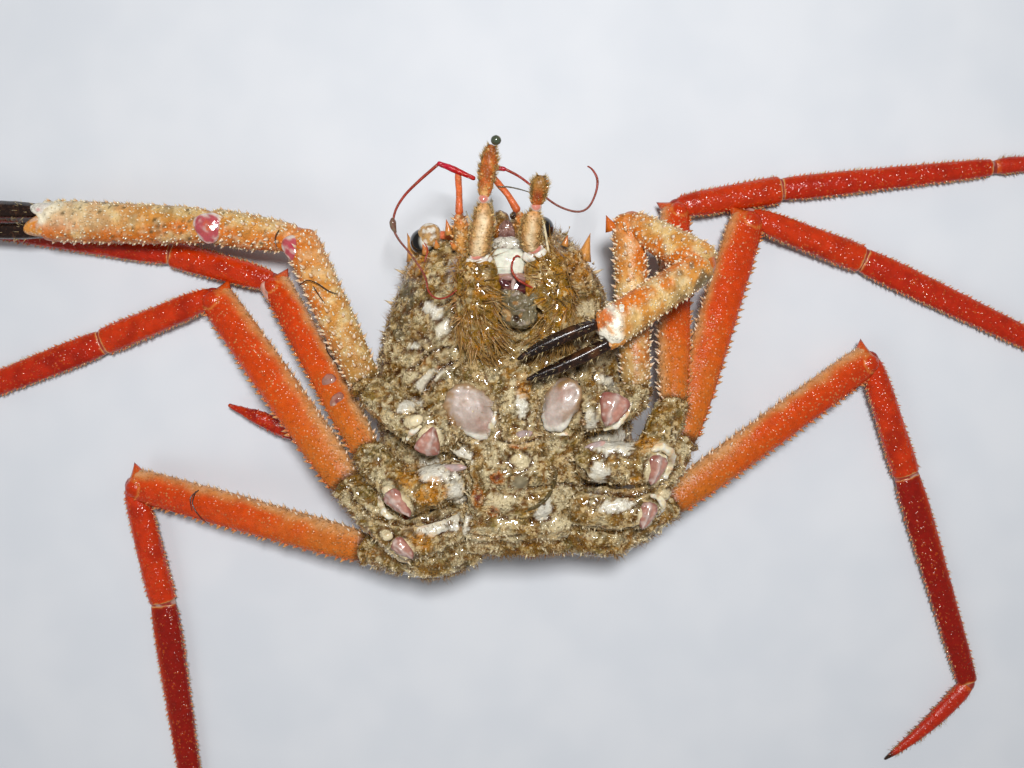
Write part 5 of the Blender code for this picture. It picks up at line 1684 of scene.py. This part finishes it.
# Fine threads of the head and the belly: places on the way, half width, colour.
THREADS = {
    "mouth_curl": ([(-0.6, 45.4, 54.6), (-1.4, 43.6, 55.6), (-1.6, 41.2, 56.2), (-0.2, 38.6, 56.4),
                    (2.6, 36.6, 56.2), (6.2, 34.8, 55.6)], 0.42, "brick"),
    "mouth_curl_top": ([(-0.6, 45.4, 54.6), (0.4, 45.8, 54.4), (1.4, 45.2, 54)], 0.38, "brick"),
    "straw_thread": ([(7.4, 58.6, 61), (8.8, 55, 59.4), (9.8, 50, 57), (10.8, 45, 54.6),
                      (11.6, 41, 53.4)], 0.42, "cream"),
    "grey_thread": ([(-6.2, 68.8, 48), (-3, 68.8, 48.2), (1, 68.0, 48.2), (4.4, 67.0, 48.2)], 0.26,
                    "slate"),
    "side_curl": ([(-30.6, 44, 48.6), (-29.6, 48, 47.8), (-30.8, 50.6, 46.8)], 0.3, "brick"),
    "nerve_right": ([(-8.4, 33.4, 53.4), (-5, 31.6, 54), (-3, 30.2, 54.2)], 0.3, "ochre"),
}


def threads():
    """The loose fine threads."""
    for name, (places, half, colour) in THREADS.items():
        widths = [half] * (len(places) - 1) + [half * 0.5]
        skin, _ = rod(name, places, widths, colour, 0.2, sides=8)
        skin.raise_by(skin.grain(1.6, 80) * half * 0.25)
        skin.finish("stalk", "stalk")


# Cushions of the mouth: place, half length, half width, height, heading, how much it
# narrows, how square, colour, second colour and roughness.
MOUTH_PARTS = {
    "mouth_plate": ((-2.7, 43.8, 52.2), 4.4, 5.7, 2.4, 90, -0.06, 5.0, "bone", "pale", 0.14),
    "mouth_band": ((-1.0, 38.9, 52.2), 1.5, 6.2, 2.4, 90, 0, 2.6, "mauve", "dusky", 0.1),
    "mouth_floor": ((0.0, 35.8, 51.4), 3.0, 7.4, 2.4, 90, 0, 2.2, "plum", "wine", 0.08),
    "jaw_right": ((-4.0, 36.6, 52.8), 3.6, 1.5, 2.0, -24, 0.2, 2.2, "plum", "dusky", 0.08),
    "jaw_left": ((3.6, 36.6, 52.8), 3.8, 1.5, 2.0, 22, -0.2, 2.2, "plum", "dusky", 0.08),
    "mouth_ridge": ((-1.0, 36.6, 53.4), 2.2, 0.7, 1.4, 84, 0, 2.0, "pale haze", "mauve", 0.1),
    "brow_bit": ((-3.4, 54.4, 48.4), 3.4, 2.8, 1.8, 100, 0.2, 2.8, "mauve", "plum", 0.2),
    "brow_white": ((-2.8, 49.9, 50.0), 2.3, 5.2, 2.0, 90, 0, 3.0, "pale", "mauve", 0.2),
    "brow_knob": ((-4.6, 58.6, 46.6), 2.2, 3.0, 2.2, 30, 0.3, 2.8, "mocha", "dark olive", 0.3),
    "brow_knob_two": ((-6.2, 54.4, 47.2), 1.8, 2.6, 2.2, 0, 0.2, 2.6, "sienna", "dark olive", 0.3),
    "brow_drop": ((-1.0, 59.4, 47.8), 1.2, 1.0, 1.2, 80, 0.0, 2.0, "dark brown", "slate", 0.06),
    "amber_lobe": ((9.6, 33.4, 52.6), 3.4, 2.2, 2.2, -70, 0.1, 2.0, "amber", "ochre", 0.1),
    "rust_lobe": ((8.4, 40.4, 52.4), 3.0, 1.6, 2.0, 30, 0.2, 2.0, "rust", "ochre", 0.12),
    "pearl_mouth": ((-12.4, 36.6, 52.6), 1.8, 1.3, 1.8, 30, 0.0, 2.0, "pale haze", "coral", 0.08),
}


def mouth():
    """The white plate in front of the mouth, the dark jaws, and the wet grey lump."""
    for name, (place, half_length, half_width, height, heading, narrow, square, colour, other, rough) in \
            MOUTH_PARTS.items():
        skin, _ = cushion(name, place, (half_length, half_width, height), heading, UP, narrow, square)
        folds = skin.grain(2.0, 81)
        brow = name.startswith("brow")
        skin.raise_by(folds * (0.6 if brow else 0.35) + skin.grain(0.9, 82) * (0.25 if brow else 0.15))
        skin.paint(colour, rough)
        skin.shade(other, 0.05, 0.45, folds + skin.grain(1.0, 83) * 0.4, 0.6)
        skin.finish("crust" if brow else "flesh", "mouth",
                     *(["mouth"] if name == "mouth_plate" else []))
    lump()


# Balls that run together into the grey lump: place and radii.
LUMP_BALLS = (
    ((-0.6, 30.4, 52.0), (4.6, 4.4, 4.8)), ((1.4, 26.2, 52.0), (5.4, 4.2, 4.6)),
    ((7.2, 32.4, 52.4), (4.2, 2.7, 3.5)), ((3.6, 30.8, 52.0), (4.0, 3.0, 3.8)),
    ((-2.8, 33.2, 51.6), (2.6, 2.2, 3.0)), ((-2.8, 26.8, 51.6), (2.8, 3.4, 3.4)),
)


def lump():
    """The grey wet lump behind the mouth, with a hole near its rear end painted dark brown as shade, and
    painted shade in its hollows.
    """
    shape = bmesh.new()
    for place, radii in LUMP_BALLS:
        matrix = Matrix.Translation(place) @ Matrix.Diagonal((*radii, 1))
        bmesh.ops.create_icosphere(shape, subdivisions=3, radius=1, matrix=matrix)
    skin = even_skin("mouth_lump", shape, "grey", 0.1, 0.3, 4)
    broad = skin.grain(2.6, 84)
    small = skin.grain(1.1, 85)
    hole = np.linalg.norm(skin.points[:, :2] - (-0.4, 25.2), axis=1)
    skin.raise_by(broad * 0.9 + small * 0.6 - smoothstep(1.7, 0.4, hole) * 1.8)
    skin.shade("slate", 0.0, 0.4, broad, 0.7)
    skin.patches("pale haze", 2.2, 86, 0.2, 0.5, 0.4)
    skin.patches("amber", 2.8, 87, 0.35, 0.6, 0.35)
    # Painted shade: dark brown in the hollows and in the hole.
    skin.shade("dark brown", 0.05, 0.3, skin.hollows(3), 0.8)
    skin.shade("dark brown", 1.6, 0.9, hole, 0.95)
    skin.calm += 0.55
    skin.finish("crust", "mouth")


# Each eye: the stalk's places on the way, the cap and the ball with their radii.
EYES = {
    "right": ([(-17, 50, 37), (-22, 53.2, 37), (-27.4, 53.9, 36.4)], (-29.9, 53.7, 36.2), 4.3,
              (-32.2, 51.6, 34.6), 4.6),
    "left": ([(-5, 50, 38), (0.5, 55, 37.5), (4.5, 56.3, 37)], (6.2, 56.6, 36.4), 4.0,
             (8.6, 56.0, 35.4), 4.4),
}


def eye(side):
    """An eye: an orange stalk, a mottled tan cap and a black ball with a painted pale highlight."""
    places, cap_place, cap_size, ball_place, ball_size = EYES[side]
    skin, tube = rod(f"eyestalk_{side}_rod", places, (1.9, 1.6, 1.5), "coral orange", 0.2)
    along, *_ = tube.local(skin.points)
    skin.roughen((1.4, 88, 0.12))
    skin.shade("coral", 0.75, 0.95, along / tube.length, 0.8)
    skin.finish("stalk", "stalk", f"eyestalk_{side}")
    way = Vector(ball_place) - Vector(cap_place)
    heading = math.degrees(math.atan2(way.y, way.x))
    skin, _ = cushion(f"eye_{side}_cap", cap_place, (cap_size, cap_size * 0.95, cap_size), heading, sink=0)
    spots = skin.grain(1.8, 89)
    skin.raise_by(spots * 0.25 + skin.grain(0.8, 90) * 0.1)
    skin.paint("tan", 0.2)
    skin.shade("brown", 0.0, 0.4, spots, 0.6)
    skin.patches("pale", 1.5, 91, 0.0, 0.25, 0.85)
    near_stalk = np.linalg.norm(skin.points - np.array(places[-1]), axis=1)
    skin.shade("coral", 2.6, 1.6, near_stalk, 0.8, 0.14)
    skin.finish("stalk", "stalk")
    skin, _ = cushion(f"eye_{side}_ball", ball_place, (ball_size,) * 3, heading, sink=0)
    skin.paint("black", 0.05)
    # Painted highlight: a pale patch on the top of the ball, near the cap.
    painted_highlight = np.array(cap_place) * 0.62 + np.array(ball_place) * 0.38 + (0.0, -1.4, ball_size)
    far = np.linalg.norm((skin.points - painted_highlight) * (1, 0.8, 0.5), axis=1)
    skin.shade("pale", 3.0, 1.4, far, 0.85)
    skin.finish("eye", "eye", f"eye_{side}")


# The three thorns of the brow: foot, tip and thickness.
BROW_THORNS = (((-8, 53, 21), (-9, 69, 17.4), 2.4), ((-14, 52, 23), (-18, 63.6, 20.4), 2.0),
               ((-2, 53, 23), (0, 64.6, 20.4), 2.0))
# The orange teeth beside the palps and the eyes: place, way, length and thickness.
BROW_TEETH = (
    ((-22.6, 53.6, 43.4), (-0.2, 1, 0.3), 5.0, 1.7), ((-20.6, 49, 45), (-0.6, 0.6, 0.8), 3, 1.4),
    ((-15.6, 54, 45), (0.5, 0.9, 0.6), 2.6, 1.1), ((16.4, 50, 40), (0.3, 1, 0.3), 3.6, 1.5),
    ((-31, 47.6, 38), (-0.3, 0.9, 0.5), 3.4, 1.5), ((-27, 49.4, 40), (-0.1, 0.9, 0.6), 3, 1.3),
)


def brow():
    """The thorns and the teeth of the brow."""
    for foot, tip, thick in BROW_THORNS:
        way = Vector(tip) - Vector(foot)
        SPINES.plant([foot], [way], [(0, 0, 0.04)], way.length, thick, rgba("amber", 0.35),
                     rgba("cream", 0.3))
    for place, way, length, thick in BROW_TEETH:
        SPINES.plant([place], [way], [(0, 0.05, 0.1)], length, thick, rgba("gold", 0.35), rgba("rust", 0.3))


def last_legs(side):
    """The small last pair of legs: wet, dark red, with low spines."""
    for node in (f"leg_5_{side}", f"leg_5_{side}_claw"):
        skin = node_skin(node, "red", 0.22, 0.45, 3)
        lumps = skin.grain(2.4, 92)
        skin.raise_by(lumps * 0.28 + skin.grain(1, 93) * 0.1)
        skin.shade("deep red", -0.1, 0.4, lumps, 0.7)
        skin.patches("orange red", 3, 94, 0.1, 0.5, 0.6)
        # Painted shade: dark brown in the hollows.
        skin.shade("dark brown", 0.04, 0.2, skin.hollows(3), 0.7)
        roots, outs, _, draw = sprinkle(skin, 2.4, 95, (skin.points[:, 2] > BARE_BELOW) * 1.0)
        count = len(roots)
        SPINES.plant(roots - outs * 0.25, outs + draw.normal(0, 0.25, (count, 3)), outs * 0,
                     draw.uniform(0.6, 1.2, count), 0.42, rgba("orange red", 0.3), rgba("orange", 0.3),
                     skin.home, skin.unroll(roots))
        skin.finish("leg", "leg", node)


def head():
    """Mouth, mouth legs, palps, feelers and eyes."""
    for side in ("right", "left"):
        mouth_leg(side)
        palp(side)
        antenna(side)
        eye(side)
        last_legs(side)
    bead()
    droplet()
    threads()
    mouth()
    brow()


LENS = 36              # focal length, and the sensor's width
CAMERA_PLACE = (-1.5, 27.3, 391.05)
CAMERA_LEAN = -4       # degrees off straight down
SKY = 0.17             # strength of the white sky
FLOOR_REACH = 3        # metres from its middle to its edge
FLOOR_GAP = 0.0003     # metres from the crab down to the floor
# Each light, in metres: place, the point that it faces, size, and power in watts.
LIGHTS = {
    "key": ((0.03, 0.17, 0.66), (0, 0.02, 0.02), 0.11, 4.3),
    "fill": ((-0.6, -0.3, 0.6), (0, 0, 0.02), 0.5, 1.1),
}


def camera():
    """The camera, above the crab and leaning a little to its tail."""
    lens = bpy.data.cameras.new("camera")
    lens.lens = LENS
    lens.sensor_width = LENS
    lens.clip_start = 0.01
    lens.clip_end = 20
    item = bpy.data.objects.new("camera", lens)
    item.location = Vector(CAMERA_PLACE) * MM
    item.rotation_euler = (math.radians(CAMERA_LEAN), 0, 0)
    bpy.context.scene.collection.objects.link(item)
    bpy.context.scene.camera = item


def area_light(name):
    """A soft square light that faces a point."""
    place, target, size, power = LIGHTS[name]
    lamp = bpy.data.lights.new(name, "AREA")
    lamp.size = size
    lamp.energy = power
    item = bpy.data.objects.new(name, lamp)
    item.location = place
    way = Vector(target) - Vector(place)
    item.rotation_euler = way.to_track_quat("-Z", "Y").to_euler()
    bpy.context.scene.collection.objects.link(item)
    return item


def studio():
    """A plain pale floor, a soft sky and soft lights."""
    shape = bmesh.new()
    bmesh.ops.create_grid(shape, x_segments=1, y_segments=1, size=FLOOR_REACH)
    floor = add_object("floor", shape)
    floor.data.transform(Matrix.Translation((0, 0, -FLOOR_GAP)))
    graph = Graph("pale_floor")
    tone = graph.noise(40, 2)
    colour = graph.mix(graph.between(tone, 0.3, 0.7), "floor light", "floor shade")
    graph.shader.inputs["Roughness"].default_value = 0.6
    graph.done(colour, None)
    floor.data.materials.append(graph.material)
    world = bpy.data.worlds.new("studio")
    world.use_nodes = True
    sky = world.node_tree.nodes["Background"].inputs
    sky["Color"].default_value = (1, 1, 1, 1)
    sky["Strength"].default_value = SKY
    bpy.context.scene.world = world
    area_light("key")
    area_light("fill").visible_glossy = False


def main():
    """The camera, the crab and the studio."""
    camera()
    for name in LEGS:
        walking_leg(name)
    for name in CLAWS:
        claw_limb(name)
    limb_patches()
    long_hairs()
    trunk()
    head()
    SPINES.grow("limb_spines", thorn(), "thorn", "merus")
    WARTS.grow("claw_warts", spike(6, (0.35, 0.7)), "thorn", "claw", taper=0.5)
    BRISTLES.grow("limb_bristles", bristle(), "hair", "hair")
    SMALL_SPINES.grow("feeler_hairs", bristle(), "hair", "hair")
    HEAD_HAIRS.grow("mouth_hairs", strand(), "hair", "hair")
    TRUNK_GRAINS.grow("trunk_grains", spike(5, (0.35, 0.7)), "thorn", "body", taper=0.5)
    TRUNK_THORNS.grow("trunk_spinules", thorn(), "thorn", "body")
    TRUNK_BRISTLES.grow("trunk_bristles", bristle(), "hair", "hair")
    studio()


bpy.context.scene.view_settings.view_transform = "Standard"
main()
